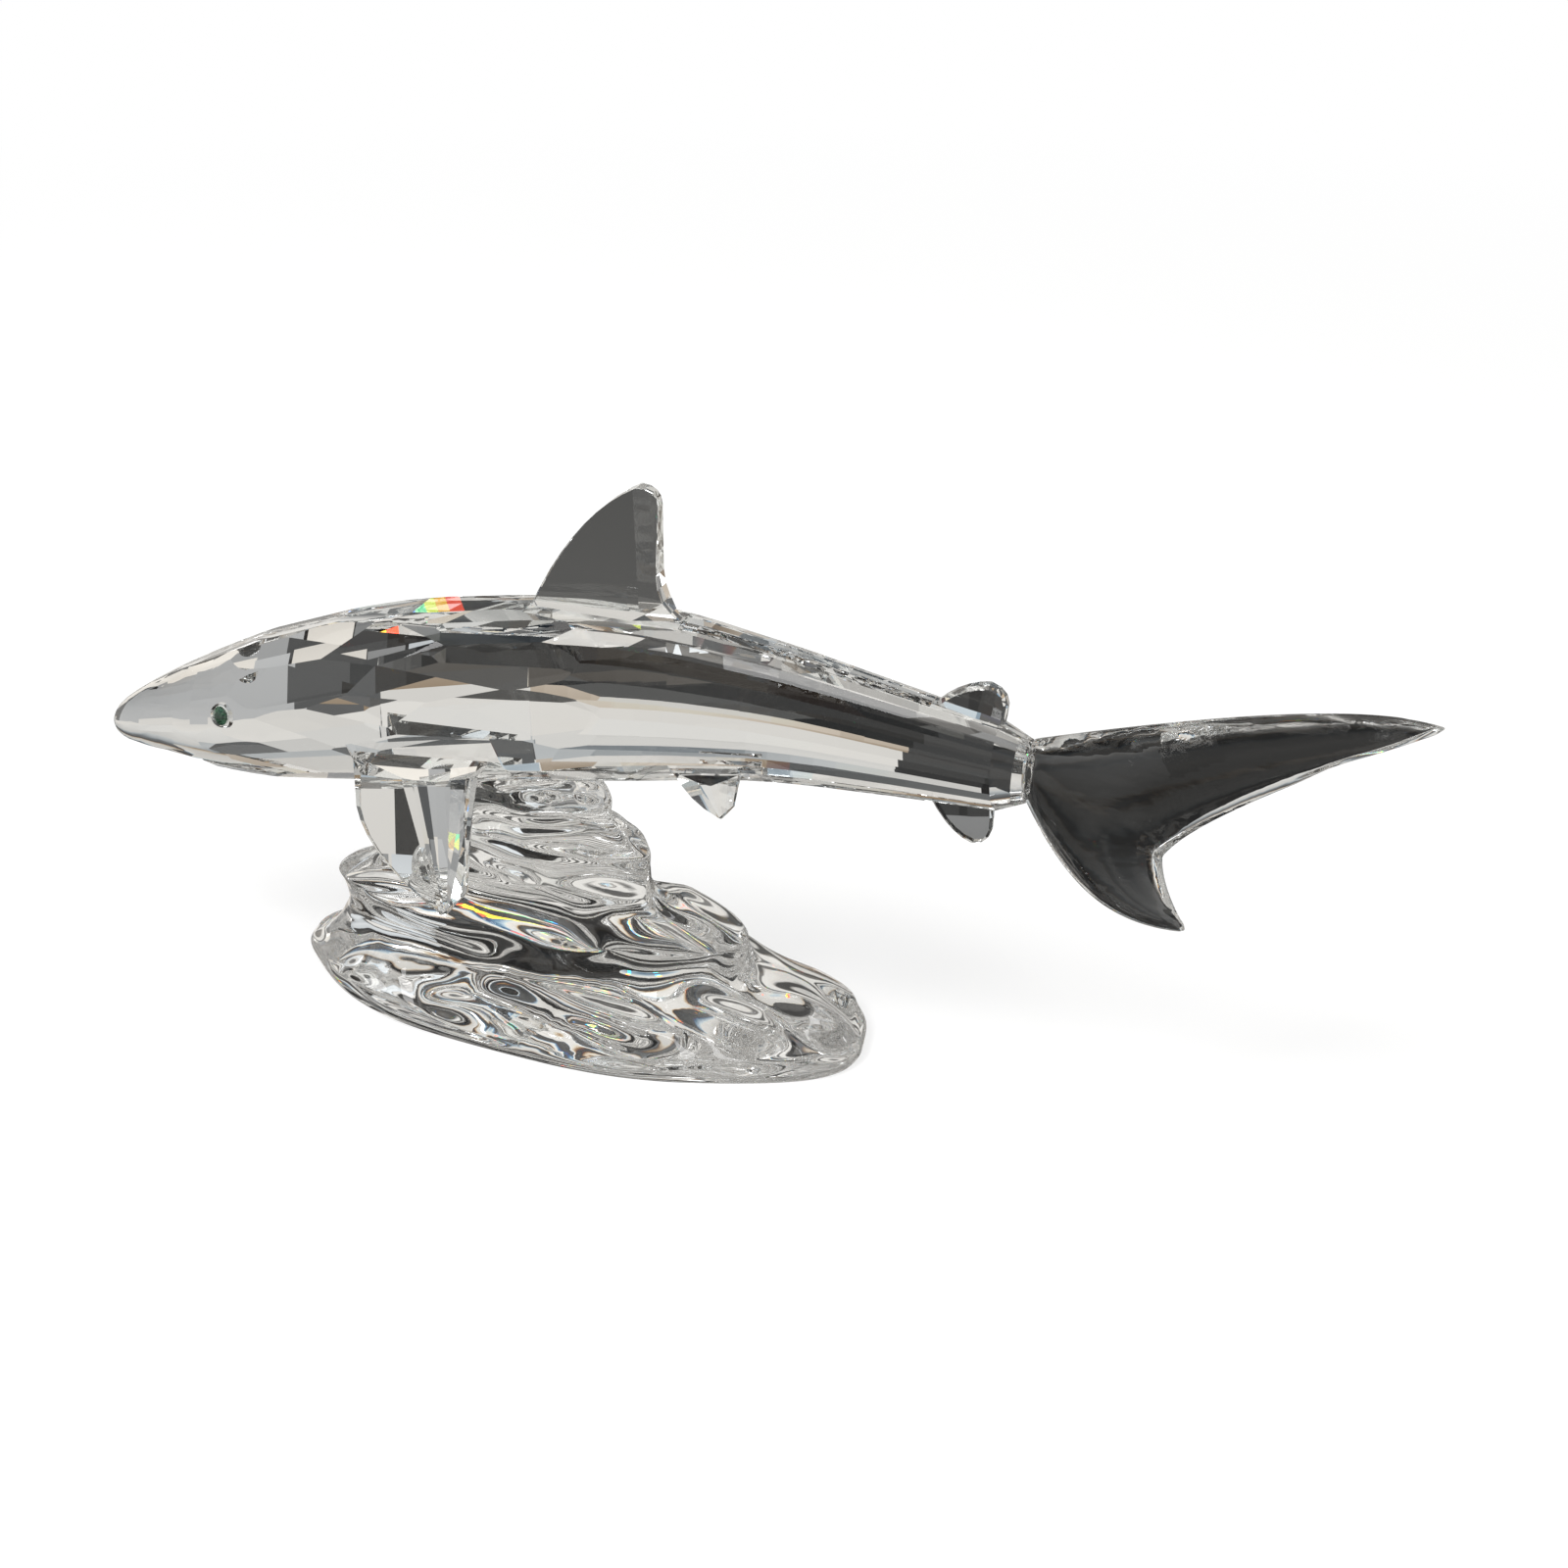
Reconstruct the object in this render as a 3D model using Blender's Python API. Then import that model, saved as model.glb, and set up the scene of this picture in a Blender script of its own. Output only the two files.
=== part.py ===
"""Cut-crystal shark, glued from ground pieces and held by the crest of a moulded wave base.

Units are metres and +Z is up. The nose points to -X and the shark's left side faces -Y.
The origin is on the table, under the middle of the base.
"""

import math

import bmesh
import bpy
from mathutils import Matrix, Vector, noise

# Every piece is glued to the next across this gap
GLUE_GAP = 0.0003

# A chamfer takes no more than this share of the half thickness of a fin's rim
CHAMFER_SHARE = 0.6

# Stations of the body: x, height of the centre line, half height, half width
BODY_STATIONS = (
    (-0.0750, 0.0316, 0.0007, 0.0008),
    (-0.0747, 0.0317, 0.0016, 0.0017),
    (-0.0740, 0.0319, 0.0024, 0.0025),
    (-0.0727, 0.0322, 0.0033, 0.0034),
    (-0.0700, 0.0329, 0.0046, 0.0047),
    (-0.0645, 0.0344, 0.0065, 0.0062),
    (-0.0570, 0.0361, 0.0091, 0.0080),
    (-0.0450, 0.0389, 0.0117, 0.0101),
    (-0.0280, 0.0427, 0.0133, 0.0118),
    (-0.0080, 0.0462, 0.0134, 0.0119),
    (0.0100, 0.0481, 0.0126, 0.0109),
    (0.0280, 0.0482, 0.0101, 0.0085),
    (0.0460, 0.0467, 0.0080, 0.0065),
    (0.0615, 0.0451, 0.0063, 0.0051),
)
STALK_END_X = 0.0655
STALK_END_HALF_HEIGHT = 0.0045
STALK_END_HALF_WIDTH = 0.0037
BODY_RING_SPACING = 0.0034
# Closer rings round the blunt nose, behind its tip
NOSE_RINGS = (0.0003, 0.0010, 0.0021)

# Each side of a section is round from the back's edge line down to the belly's, with flats beyond
BACK_EDGE_DEGREES = 70.0
BACK_CREST_DEGREES = 83.0
BELLY_EDGE_DEGREES = -43.0
BELLY_CREST_DEGREES = -70.0
FLANK_STEPS = 10

# Flats ground on the front half, each with the x and the angle above the flank of its middle.
# A flat at 90 or -90 degrees lies across the back or the belly, and the others on both flanks.
FRONT_FLATS = (
    (-0.0560, 90.0),
    (-0.0430, 90.0),
    (-0.0295, 90.0),
    (-0.0165, 90.0),
    (-0.0390, 59.0),
    (-0.0265, 51.0),
    (-0.0135, 60.0),
    (-0.0355, 27.0),
    (-0.0220, 20.0),
    (-0.0120, 34.0),
    (-0.0260, 8.0),
    (-0.0330, -5.0),
    (-0.0445, -13.0),
    (-0.0120, 2.0),
    (-0.0375, -33.0),
    (-0.0225, -24.0),
    (-0.0480, -45.0),
    (-0.0320, -60.0),
    (-0.0450, -90.0),
    (-0.0330, -90.0),
)
FLAT_REACH = 0.045
FLAT_DEPTH = 0.00062
FLAT_SNOUT_DEPTH = 0.00036

# The mouth notch under the snout, in front of the lower jaw
MOUTH_CORNER_X = -0.0580
MOUTH_CORNER_Z = 0.0297
MOUTH_PALATE_SLOPE = 0.055
JAW_FRONT_SLOPE = 0.45
MOUTH_CUT_HALF_WIDTH = 0.014

# Round eye stones in sockets
EYE_RADIUS = 0.0015
EYE_X = -0.0522
EYE_DEGREES = 9.0
EYE_DOME = 0.0007
EYE_SINK = 0.0003
EYE_SEAT_DEPTH = 0.0008
EYE_SIDES = 20

# Dorsal fin: outline along and above its root, with the ridge of its two side facets
DORSAL_X = -0.0062
DORSAL_ROOT = 0.0224
DORSAL_HEIGHT = 0.0190
DORSAL_TIP_SETBACK = 0.0166
DORSAL_TRAILING_X = 0.0196
DORSAL_RIDGE_X = 0.0152
DORSAL_RIDGE_HALF = 0.0026
DORSAL_LEADING_TAPER = 0.085
DORSAL_TRAILING_TAPER = 0.18
DORSAL_UPWARD_TAPER = 0.058
DORSAL_HEEL_HALF = 0.0019
DORSAL_HEEL_Z = 0.0038
DORSAL_HEEL_TAPER = 0.30
DORSAL_HEEL_DROP = 0.16
DORSAL_CHAMFER = 0.0005
DORSAL_SEAT_DEPTH = 0.0007

# Second dorsal fin and anal fin: small plates on the tail stalk, set out from its end
SECOND_SETBACK = 0.0131
SECOND_ROOT = 0.0098
SECOND_HEIGHT = 0.0052
SECOND_HALF = 0.0016
ANAL_SETBACK = 0.0135
ANAL_ROOT = 0.0088
ANAL_HEIGHT = 0.0060
ANAL_HALF = 0.0013
SMALL_FIN_TAPER = 0.07
SMALL_FIN_CHAMFER = 0.0005
STALK_SEAT_DEPTH = 0.0004

# Pectoral fins: root on the lower flank, facets fanned from the tip
PECTORAL_X = -0.0302
PECTORAL_ROOT = 0.0226
PECTORAL_LENGTH = 0.0219
PECTORAL_TIP_X = 0.0135
PECTORAL_HALF = 0.0034
PECTORAL_TIP_HALF = 0.0009
PECTORAL_CHAMFER = 0.0010
PECTORAL_SEAT_DEGREES = -33.0
PECTORAL_SPLAY_DEGREES = 22.0
PECTORAL_SEAT_DEPTH = 0.0009
PECTORAL_SHOULDER_RISE = 0.0016

# Facet that slopes from the shoulder of a pectoral or pelvic fin up to the flank: its tilt, and
# where it starts as a share of the fin's half thickness
SHOULDER_DEGREES = 33.5
SHOULDER_START = 0.55

# Pelvic fins: small wedges behind them
PELVIC_X = 0.0172
PELVIC_ROOT = 0.0092
PELVIC_LENGTH = 0.0062
PELVIC_TIP_X = 0.0066
PELVIC_HALF = 0.0021
PELVIC_TIP_HALF = 0.0006
PELVIC_SEAT_DEGREES = -52.0
PELVIC_SPLAY_DEGREES = 30.0
PELVIC_SEAT_DEPTH = 0.0005
PELVIC_SHOULDER_RISE = -0.0004

# Tail fin: two lobes with a lens section. Reach is measured back from the stalk's end, height
# from the table, and each edge is drawn towards its own pull point.
TAIL_ROOT_HALF_HEIGHT = 0.0046
TAIL_ROOT_HALF_WIDTH = 0.0036
TAIL_CENTRE_Z = 0.0449
TAIL_UPPER_TIP = (0.0538, 0.0592)
TAIL_LOWER_TIP = (0.0222, 0.0248)
TAIL_FORK = (0.0184, 0.0352)
TAIL_HUB = (0.0105, 0.0412)
TAIL_TOP_PULL = (0.0430, 0.0628)
TAIL_BACK_PULL = (0.0226, 0.0428)
TAIL_REAR_PULL = (0.0184, 0.0310)
TAIL_UNDER_PULL = (0.0073, 0.0232)
TAIL_UPPER_SPINE_PULL = (0.0269, 0.0456)
TAIL_LOWER_SPINE_PULL = (0.0093, 0.0300)
TAIL_UPPER_SPINE_SETBACK = 0.035
TAIL_LOWER_SPINE_SETBACK = 0.07
TAIL_HUB_HALF_WIDTH = 0.0040
TAIL_TIP_HALF_WIDTH = 0.0011
TAIL_NOTCH_REACH = 0.0412
TAIL_NOTCH_DEPTH = 0.0010
TAIL_NOTCH_WIDTH = 0.0030
TAIL_ROWS = 6
TAIL_ROOT_STEPS = 6
TAIL_UPPER_STEPS = 20
TAIL_LOWER_STEPS = 12

# Wave base, from the foot up to the crest: centre x and y, half length, half depth, height.
# An oval apron carries two lens-shaped tiers and the crest that holds the belly.
BASE_SECTIONS = (
    (-0.0004, 0.0000, 0.0442, 0.0226, 0.0000),
    (-0.0004, 0.0000, 0.0449, 0.0232, 0.0014),
    (-0.0006, 0.0000, 0.0443, 0.0226, 0.0030),
    (-0.0014, 0.0000, 0.0411, 0.0196, 0.0056),
    (-0.0035, 0.0004, 0.0378, 0.0165, 0.0078),
    (-0.0070, 0.0010, 0.0345, 0.0146, 0.0090),
    (-0.0078, 0.0012, 0.0326, 0.0134, 0.0132),
    (-0.0070, 0.0010, 0.0250, 0.0112, 0.0154),
    (-0.0055, 0.0005, 0.0190, 0.0096, 0.0170),
    (-0.0052, 0.0005, 0.0176, 0.0088, 0.0214),
    (-0.0052, 0.0005, 0.0162, 0.0078, 0.0242),
    (-0.0056, 0.0004, 0.0135, 0.0062, 0.0262),
    (-0.0058, 0.0003, 0.0118, 0.0048, 0.0300),
    (-0.0060, 0.0002, 0.0080, 0.0032, 0.0345),
    (-0.0060, 0.0000, 0.0010, 0.0006, 0.0360),
)
BASE_TURN_DEGREES = -7.0
BASE_STEPS = 40
BASE_SPOKES = 80
RIPPLE_PITCH = 0.0060
RIPPLE_DEPTH = 0.0003
SWELL_PITCH = 0.0150
SWELL_HEIGHT = 0.0011
FOLD_PITCH = 0.0180
FOLD_DEPTH = 0.0012
# Folds turn this much faster up the walls, and swells this much faster across the base
FOLD_LEAN = 2.5
SWELL_SQUEEZE = 2.4
# The outline swells and shrinks this often round the base: count, share of the radius, phase
BASE_LOBES = ((3, 0.020, 0.6), (7, 0.012, 2.0))
# The foot stays plain up to this section
CALM_SECTION = 3

MIRROR_Y = Matrix.Diagonal((1.0, -1.0, 1.0, 1.0))


def crystal(name, colour, roughness=0.02, transmission=1.0):
    """Principled material of one piece."""
    material = bpy.data.materials.new(name)
    material.use_nodes = True
    shader = material.node_tree.nodes["Principled BSDF"]
    shader.inputs["Base Color"].default_value = (*colour, 1.0)
    shader.inputs["Roughness"].default_value = roughness
    shader.inputs["Metallic"].default_value = 0.0
    shader.inputs["IOR"].default_value = 1.55
    shader.inputs["Transmission Weight"].default_value = transmission
    material.diffuse_color = (*colour, 1.0)
    return material


def add_piece(name, bm, material, sharp_degrees=11.0):
    """Puts the mesh into the scene as one named piece, smooth except at its sharp edges."""
    bmesh.ops.remove_doubles(bm, verts=bm.verts, dist=0.00001)
    bmesh.ops.recalc_face_normals(bm, faces=bm.faces)
    mesh = bpy.data.meshes.new(name)
    bm.to_mesh(mesh)
    bm.free()
    mesh.shade_smooth()
    mesh.set_sharp_from_angle(angle=math.radians(sharp_degrees))
    mesh.materials.append(material)
    piece = bpy.data.objects.new(name, mesh)
    bpy.context.collection.objects.link(piece)
    return piece


def add_cutter(name, bm, target):
    """Hides the mesh as a cutter and takes its shape out of the target."""
    bmesh.ops.recalc_face_normals(bm, faces=bm.faces)
    mesh = bpy.data.meshes.new(name)
    bm.to_mesh(mesh)
    bm.free()
    cutter = bpy.data.objects.new(name, mesh)
    bpy.context.collection.objects.link(cutter)
    cutter.hide_render = True
    cutter.display_type = "WIRE"
    cut = target.modifiers.new(name, "BOOLEAN")
    cut.operation = "DIFFERENCE"
    cut.solver = "EXACT"
    cut.object = cutter


def mirrored(bm):
    """The same shape on the other side of the shark."""
    other = bm.copy()
    bmesh.ops.transform(other, matrix=MIRROR_Y, verts=other.verts)
    bmesh.ops.reverse_faces(other, faces=other.faces)
    return other


def skin(bm, rows, closed):
    """Faces between rows of equally many points. A closed row runs back to its first point."""
    laid = [[bm.verts.new(point) for point in row] for row in rows]
    for near, far in zip(laid, laid[1:]):
        rungs = list(zip(near, far))
        if closed:
            rungs.append(rungs[0])
        for (a, b), (c, d) in zip(rungs, rungs[1:]):
            bm.faces.new((a, b, d, c))


def bend(start, pull, end, steps):
    """Points of a quadratic curve from start to end, drawn towards pull."""
    points = []
    for i in range(steps + 1):
        t = i / steps
        points.append(start * (1 - t) ** 2 + pull * 2 * t * (1 - t) + end * t * t)
    return points


def grind(bm, point, normal, faces=None):
    """Grinds the solid flat at a plane, taking off what lies on the normal's side.

    Where faces are given, only they are ground.
    """
    faces = list(bm.faces) if faces is None else faces
    edges = {edge for face in faces for edge in face.edges}
    verts = {vert for face in faces for vert in face.verts}
    cut = bmesh.ops.bisect_plane(
        bm,
        geom=list(verts) + list(edges) + list(faces),
        dist=0.000002,
        plane_co=point,
        plane_no=normal,
        clear_outer=True,
    )
    rim = [item for item in cut["geom_cut"] if isinstance(item, bmesh.types.BMEdge)]
    bmesh.ops.holes_fill(bm, edges=[edge for edge in rim if edge.is_boundary], sides=0)


def through(stations, at):
    """Values on a smooth curve through stations, whose first value says where each lies."""
    last = len(stations) - 2
    i = max(0, min(last, sum(station[0] <= at for station in stations) - 1))
    before = stations[max(i - 1, 0)]
    start, end = stations[i], stations[i + 1]
    after = stations[min(i + 2, last + 1)]
    span = end[0] - start[0]
    t = max(0.0, min(1.0, (at - start[0]) / span))
    values = []
    for k in range(1, len(start)):
        slope_in = (end[k] - before[k]) / (end[0] - before[0]) * span
        slope_out = (after[k] - start[k]) / (after[0] - start[0]) * span
        values.append(
            start[k] * (2 * t**3 - 3 * t**2 + 1)
            + slope_in * (t**3 - 2 * t**2 + t)
            + end[k] * (3 * t**2 - 2 * t**3)
            + slope_out * (t**3 - t**2)
        )
    return values


def body_section(x):
    """Centre height, half height and half width of the body at x."""
    return through(BODY_STATIONS, x)


def body_point(x, degrees, side=-1):
    """Point of the body's round surface at x, at an angle above the flank, on one side."""
    centre, half_height, half_width = body_section(x)
    angle = math.radians(degrees)
    return Vector((x, side * half_width * math.cos(angle), centre + half_height * math.sin(angle)))


def body_normal(x, degrees, side=-1):
    """Outward direction of the body's surface at that point."""
    step = 0.0004
    along = body_point(x + step, degrees, side) - body_point(x - step, degrees, side)
    around = body_point(x, degrees + 1, side) - body_point(x, degrees - 1, side)
    normal = along.cross(around).normalized()
    outward = body_point(x, degrees, side) - Vector((x, 0, body_section(x)[0]))
    return normal if normal.dot(outward) > 0 else -normal


def section_degrees():
    """Angles of one side of a section: flat of the back, round flank, flat of the belly."""
    flank = fade(BACK_EDGE_DEGREES, BELLY_EDGE_DEGREES, FLANK_STEPS)
    return [BACK_CREST_DEGREES] + flank + [BELLY_CREST_DEGREES]


def body_ring(x):
    """One closed ring of the body, down its left side and up its right side."""
    angles = section_degrees()
    left = [body_point(x, degrees, -1) for degrees in angles]
    right = [body_point(x, degrees, 1) for degrees in reversed(angles)]
    return left + right


def stalk_end_ring():
    """The small oval at which the tail stalk is cut off."""
    centre, half_height, half_width = body_section(STALK_END_X)
    ring = []
    for point in body_ring(STALK_END_X):
        y = point.y / half_width * STALK_END_HALF_WIDTH
        z = (point.z - centre) / half_height * STALK_END_HALF_HEIGHT
        ring.append(Vector((STALK_END_X, y, TAIL_CENTRE_Z + z)))
    return ring


def flat_depth(x):
    """How deep a flat is ground at x: least at the snout, most where the body is deepest."""
    deepest = max(station[2] for station in BODY_STATIONS)
    share = body_section(x)[1] / deepest
    return FLAT_SNOUT_DEPTH + (FLAT_DEPTH - FLAT_SNOUT_DEPTH) * share


def grind_front_flats(bm):
    """Grinds the flats of the head and shoulders."""
    for x, degrees in FRONT_FLATS:
        sides = (-1,) if abs(degrees) == 90 else (-1, 1)
        for side in sides:
            normal = body_normal(x, degrees, side)
            point = body_point(x, degrees, side) - normal * flat_depth(x)
            near = [f for f in bm.faces if abs(f.calc_center_median().x - x) < FLAT_REACH]
            grind(bm, point, normal, near)


def make_body(material):
    """Head, trunk and tail stalk in one piece, with the mouth notch cut in."""
    bm = bmesh.new()
    nose_x, shoulder_x = BODY_STATIONS[0][0], BODY_STATIONS[-1][0]
    count = round((shoulder_x - nose_x) / BODY_RING_SPACING)
    places = [nose_x + (shoulder_x - nose_x) * i / count for i in range(count + 1)]
    places += [nose_x + behind for behind in NOSE_RINGS]
    rings = [body_ring(x) for x in sorted(places)]
    rings.append(stalk_end_ring())
    skin(bm, rings, closed=True)
    bmesh.ops.holes_fill(bm, edges=bm.edges, sides=0)
    bmesh.ops.recalc_face_normals(bm, faces=bm.faces)
    grind_front_flats(bm)
    body = add_piece("shark_body", bm, material)
    cut_mouth(body)
    return body


def cut_mouth(body):
    """Notch under the snout: a flat palate that ends at the front of the lower jaw."""
    bm = bmesh.new()
    nose_x = BODY_STATIONS[0][0]
    drop = BODY_STATIONS[0][1]
    front = nose_x - MOUTH_CUT_HALF_WIDTH
    corner = (MOUTH_CORNER_X, MOUTH_CORNER_Z)
    outline = (
        (front, MOUTH_CORNER_Z - MOUTH_PALATE_SLOPE * (MOUTH_CORNER_X - front)),
        corner,
        (MOUTH_CORNER_X + JAW_FRONT_SLOPE * drop, MOUTH_CORNER_Z - drop),
        (front, MOUTH_CORNER_Z - drop),
    )
    plate(bm, outline, MOUTH_CUT_HALF_WIDTH)
    add_cutter("mouth_cutter", bm, body)


def plate(bm, outline, half_thickness):
    """Flat plate standing in the XZ plane, of an outline given as (x, z) points."""
    face = bm.faces.new([bm.verts.new((x, -half_thickness, z)) for x, z in outline])
    grown = bmesh.ops.extrude_face_region(bm, geom=[face])["geom"]
    far = [item for item in grown if isinstance(item, bmesh.types.BMVert)]
    bmesh.ops.translate(bm, verts=far, vec=(0, 2 * half_thickness, 0))
    bmesh.ops.recalc_face_normals(bm, faces=bm.faces)


def seat_frame(x_start, x_end, degrees, depth, side=-1):
    """Placement of a flat seat on the body: X along it, Z out of it, origin at its front end."""
    start = body_point(x_start, degrees, side)
    end = body_point(x_end, degrees, side)
    outward = body_normal((x_start + x_end) / 2, degrees, side)
    along = (end - start).normalized()
    out = (outward - along * outward.dot(along)).normalized()
    across = out.cross(along)
    turn = Matrix((along, across, out)).transposed().to_4x4()
    return Matrix.Translation(start - out * depth) @ turn


def cut_seat(body, name, frame, length, half_width):
    """Grinds the flat that a fin is glued to, a little longer than the fin's root."""
    bm = bmesh.new()
    headroom = half_width
    low, high = -GLUE_GAP, length + GLUE_GAP
    outline = ((low, 0), (high, 0), (high, headroom), (low, headroom))
    plate(bm, outline, half_width)
    bmesh.ops.transform(bm, matrix=frame, verts=bm.verts)
    add_cutter(name, bm, body)


def chamfer_rim(bm, width):
    """Chamfers the edges between a plate's flat sides and its rim, as far as the rim allows."""
    edges = []
    for edge in bm.edges:
        sideways = sorted(abs(face.normal.y) for face in edge.link_faces)
        if len(sideways) == 2 and sideways[0] < 0.35 and sideways[1] > 0.75:
            edges.append(edge)
    thinnest = min(abs(vert.co.y) for edge in edges for vert in edge.verts)
    bmesh.ops.bevel(
        bm,
        geom=edges,
        offset=min(width, CHAMFER_SHARE * thinnest),
        segments=1,
        profile=0.5,
        affect="EDGES",
        material=-1,
    )


def dorsal_outline():
    """Leading edge swept back to a round tip, upright trailing edge, free rear tip."""
    sink = -3 * DORSAL_SEAT_DEPTH
    tip = Vector((DORSAL_TIP_SETBACK, DORSAL_HEIGHT))
    corner = Vector((DORSAL_TRAILING_X, DORSAL_HEIGHT))
    trailing = Vector((DORSAL_TRAILING_X, DORSAL_HEIGHT * 0.87))
    waist = Vector((DORSAL_TRAILING_X - 0.0004, DORSAL_HEIGHT * 0.36))
    heel = Vector((DORSAL_TRAILING_X - 0.0004, DORSAL_HEIGHT * 0.14))
    leading = bend(Vector((0, 0)), Vector((0.45 * DORSAL_TIP_SETBACK, 0.77 * DORSAL_HEIGHT)), tip, 9)
    rounding = bend(tip, corner, trailing, 4)[1:]
    rear = bend(waist, heel, Vector((DORSAL_ROOT, 0)), 4)
    return [Vector((0, sink))] + leading + rounding + rear + [Vector((DORSAL_ROOT, sink))]


def make_dorsal(body, material):
    """Big upright fin: two side facets meet in a ridge, and the rim is chamfered."""
    bm = bmesh.new()
    plate(bm, dorsal_outline(), DORSAL_RIDGE_HALF * 1.3)
    ridge = Vector((DORSAL_RIDGE_X, 0, 0))
    for side in (-1, 1):
        edge = ridge + Vector((0, side * DORSAL_RIDGE_HALF, 0))
        up = DORSAL_UPWARD_TAPER
        grind(bm, edge, Vector((-DORSAL_LEADING_TAPER, side, up)))
        grind(bm, edge, Vector((DORSAL_TRAILING_TAPER, side, up)))
        heel = Vector((DORSAL_TRAILING_X, side * DORSAL_HEEL_HALF, DORSAL_HEEL_Z))
        grind(bm, heel, Vector((DORSAL_HEEL_TAPER, side, -DORSAL_HEEL_DROP)))
    chamfer_rim(bm, DORSAL_CHAMFER)
    x_end = DORSAL_X + DORSAL_ROOT
    frame = seat_frame(DORSAL_X, x_end, 90, DORSAL_SEAT_DEPTH)
    finish_fin(bm, frame)
    cut_seat(body, "dorsal_seat", frame, DORSAL_ROOT, DORSAL_RIDGE_HALF * 2)
    return add_piece("dorsal_fin", bm, material)


def finish_fin(bm, frame):
    """Cuts the fin's root flat, a glue gap above its seat, and puts it in place."""
    grind(bm, Vector((0, 0, GLUE_GAP)), Vector((0, 0, -1)))
    bmesh.ops.transform(bm, matrix=frame, verts=bm.verts)


def small_fin(root, height, half):
    """Little plate with a swept leading edge and a round tip."""
    sink = Vector((0, -height * 0.2))
    tip = Vector((root * 0.68, height))
    leading = bend(Vector((0, 0)), Vector((root * 0.28, height * 0.80)), tip, 5)
    trailing = bend(tip, Vector((root * 1.02, height)), Vector((root, height * 0.30)), 4)[1:]
    foot = [Vector((root, 0)) + sink]
    bm = bmesh.new()
    plate(bm, [sink] + leading + trailing + foot, half * 1.2)
    for side in (-1, 1):
        ridge = Vector((root * 0.62, side * half, 0))
        grind(bm, ridge, Vector((-SMALL_FIN_TAPER, side, SMALL_FIN_TAPER)))
        grind(bm, ridge, Vector((SMALL_FIN_TAPER * 2, side, SMALL_FIN_TAPER)))
    chamfer_rim(bm, SMALL_FIN_CHAMFER)
    return bm


def make_stalk_fins(body, material):
    """Second dorsal fin on top of the tail stalk and anal fin under it."""
    fins = (
        ("second_dorsal_fin", SECOND_SETBACK, SECOND_ROOT, SECOND_HEIGHT, SECOND_HALF, 90),
        ("anal_fin", ANAL_SETBACK, ANAL_ROOT, ANAL_HEIGHT, ANAL_HALF, -90),
    )
    for name, setback, root, height, half, degrees in fins:
        x = STALK_END_X - setback
        bm = small_fin(root, height, half)
        frame = seat_frame(x, x + root, degrees, STALK_SEAT_DEPTH)
        finish_fin(bm, frame)
        cut_seat(body, name + "_seat", frame, root, half * 2.2)
        add_piece(name, bm, material)


def fan_facets(bm, root_profile, tip, tip_half):
    """Grinds both sides of a plate into flats that fan out from its tip.

    The profile gives (x, half thickness) across the root, and each flat spans two of its points.
    """
    for (x_a, half_a), (x_b, half_b) in zip(root_profile, root_profile[1:]):
        for side in (-1, 1):
            apex = Vector((tip.x, side * tip_half, tip.y))
            a = Vector((x_a, side * half_a, 0))
            b = Vector((x_b, side * half_b, 0))
            normal = (b - a).cross(apex - a).normalized()
            if normal.y * side < 0:
                normal = -normal
            grind(bm, a, normal)


def pectoral_outline():
    """Leading edge that bows out and sweeps back, nearly straight trailing edge, blunt tip."""
    root, length, tip_x = PECTORAL_ROOT, PECTORAL_LENGTH, PECTORAL_TIP_X
    sink = -length * 0.25
    shoulder = Vector((0.02 * root, 0.30 * length))
    leading = bend(shoulder, Vector((0.06 * root, 0.62 * length)), Vector((tip_x, length)), 7)
    blunt = Vector((tip_x + 0.17 * root, 0.86 * length))
    waist = Vector((0.78 * root, 0.40 * length))
    neck = Vector((0.81 * root, 0.13 * length))
    start = [Vector((0.16 * root, sink)), Vector((0.03 * root, 0.4 * sink))]
    rear = [Vector((root, 0.2 * sink)), Vector((0.70 * root, sink))]
    return start + leading + [blunt, waist, neck] + rear


def make_pectorals(body, material):
    """The two big fins under the shoulders, splayed outwards."""
    root, half = PECTORAL_ROOT, PECTORAL_HALF
    bm = bmesh.new()
    plate(bm, pectoral_outline(), half * 1.1)
    profile = (
        (0.0, 0.66 * half),
        (0.36 * root, half),
        (0.44 * root, half),
        (0.70 * root, 0.82 * half),
        (0.84 * root, 0.52 * half),
        (root, 0.26 * half),
    )
    fan_facets(bm, profile, Vector((PECTORAL_TIP_X, PECTORAL_LENGTH * 1.04)), PECTORAL_TIP_HALF)
    chamfer_rim(bm, PECTORAL_CHAMFER)
    mount_pair(
        bm, body, material, "pectoral_fin", PECTORAL_X, root, PECTORAL_SEAT_DEGREES,
        PECTORAL_SPLAY_DEGREES, PECTORAL_SEAT_DEPTH, half, PECTORAL_SHOULDER_RISE,
    )


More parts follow.
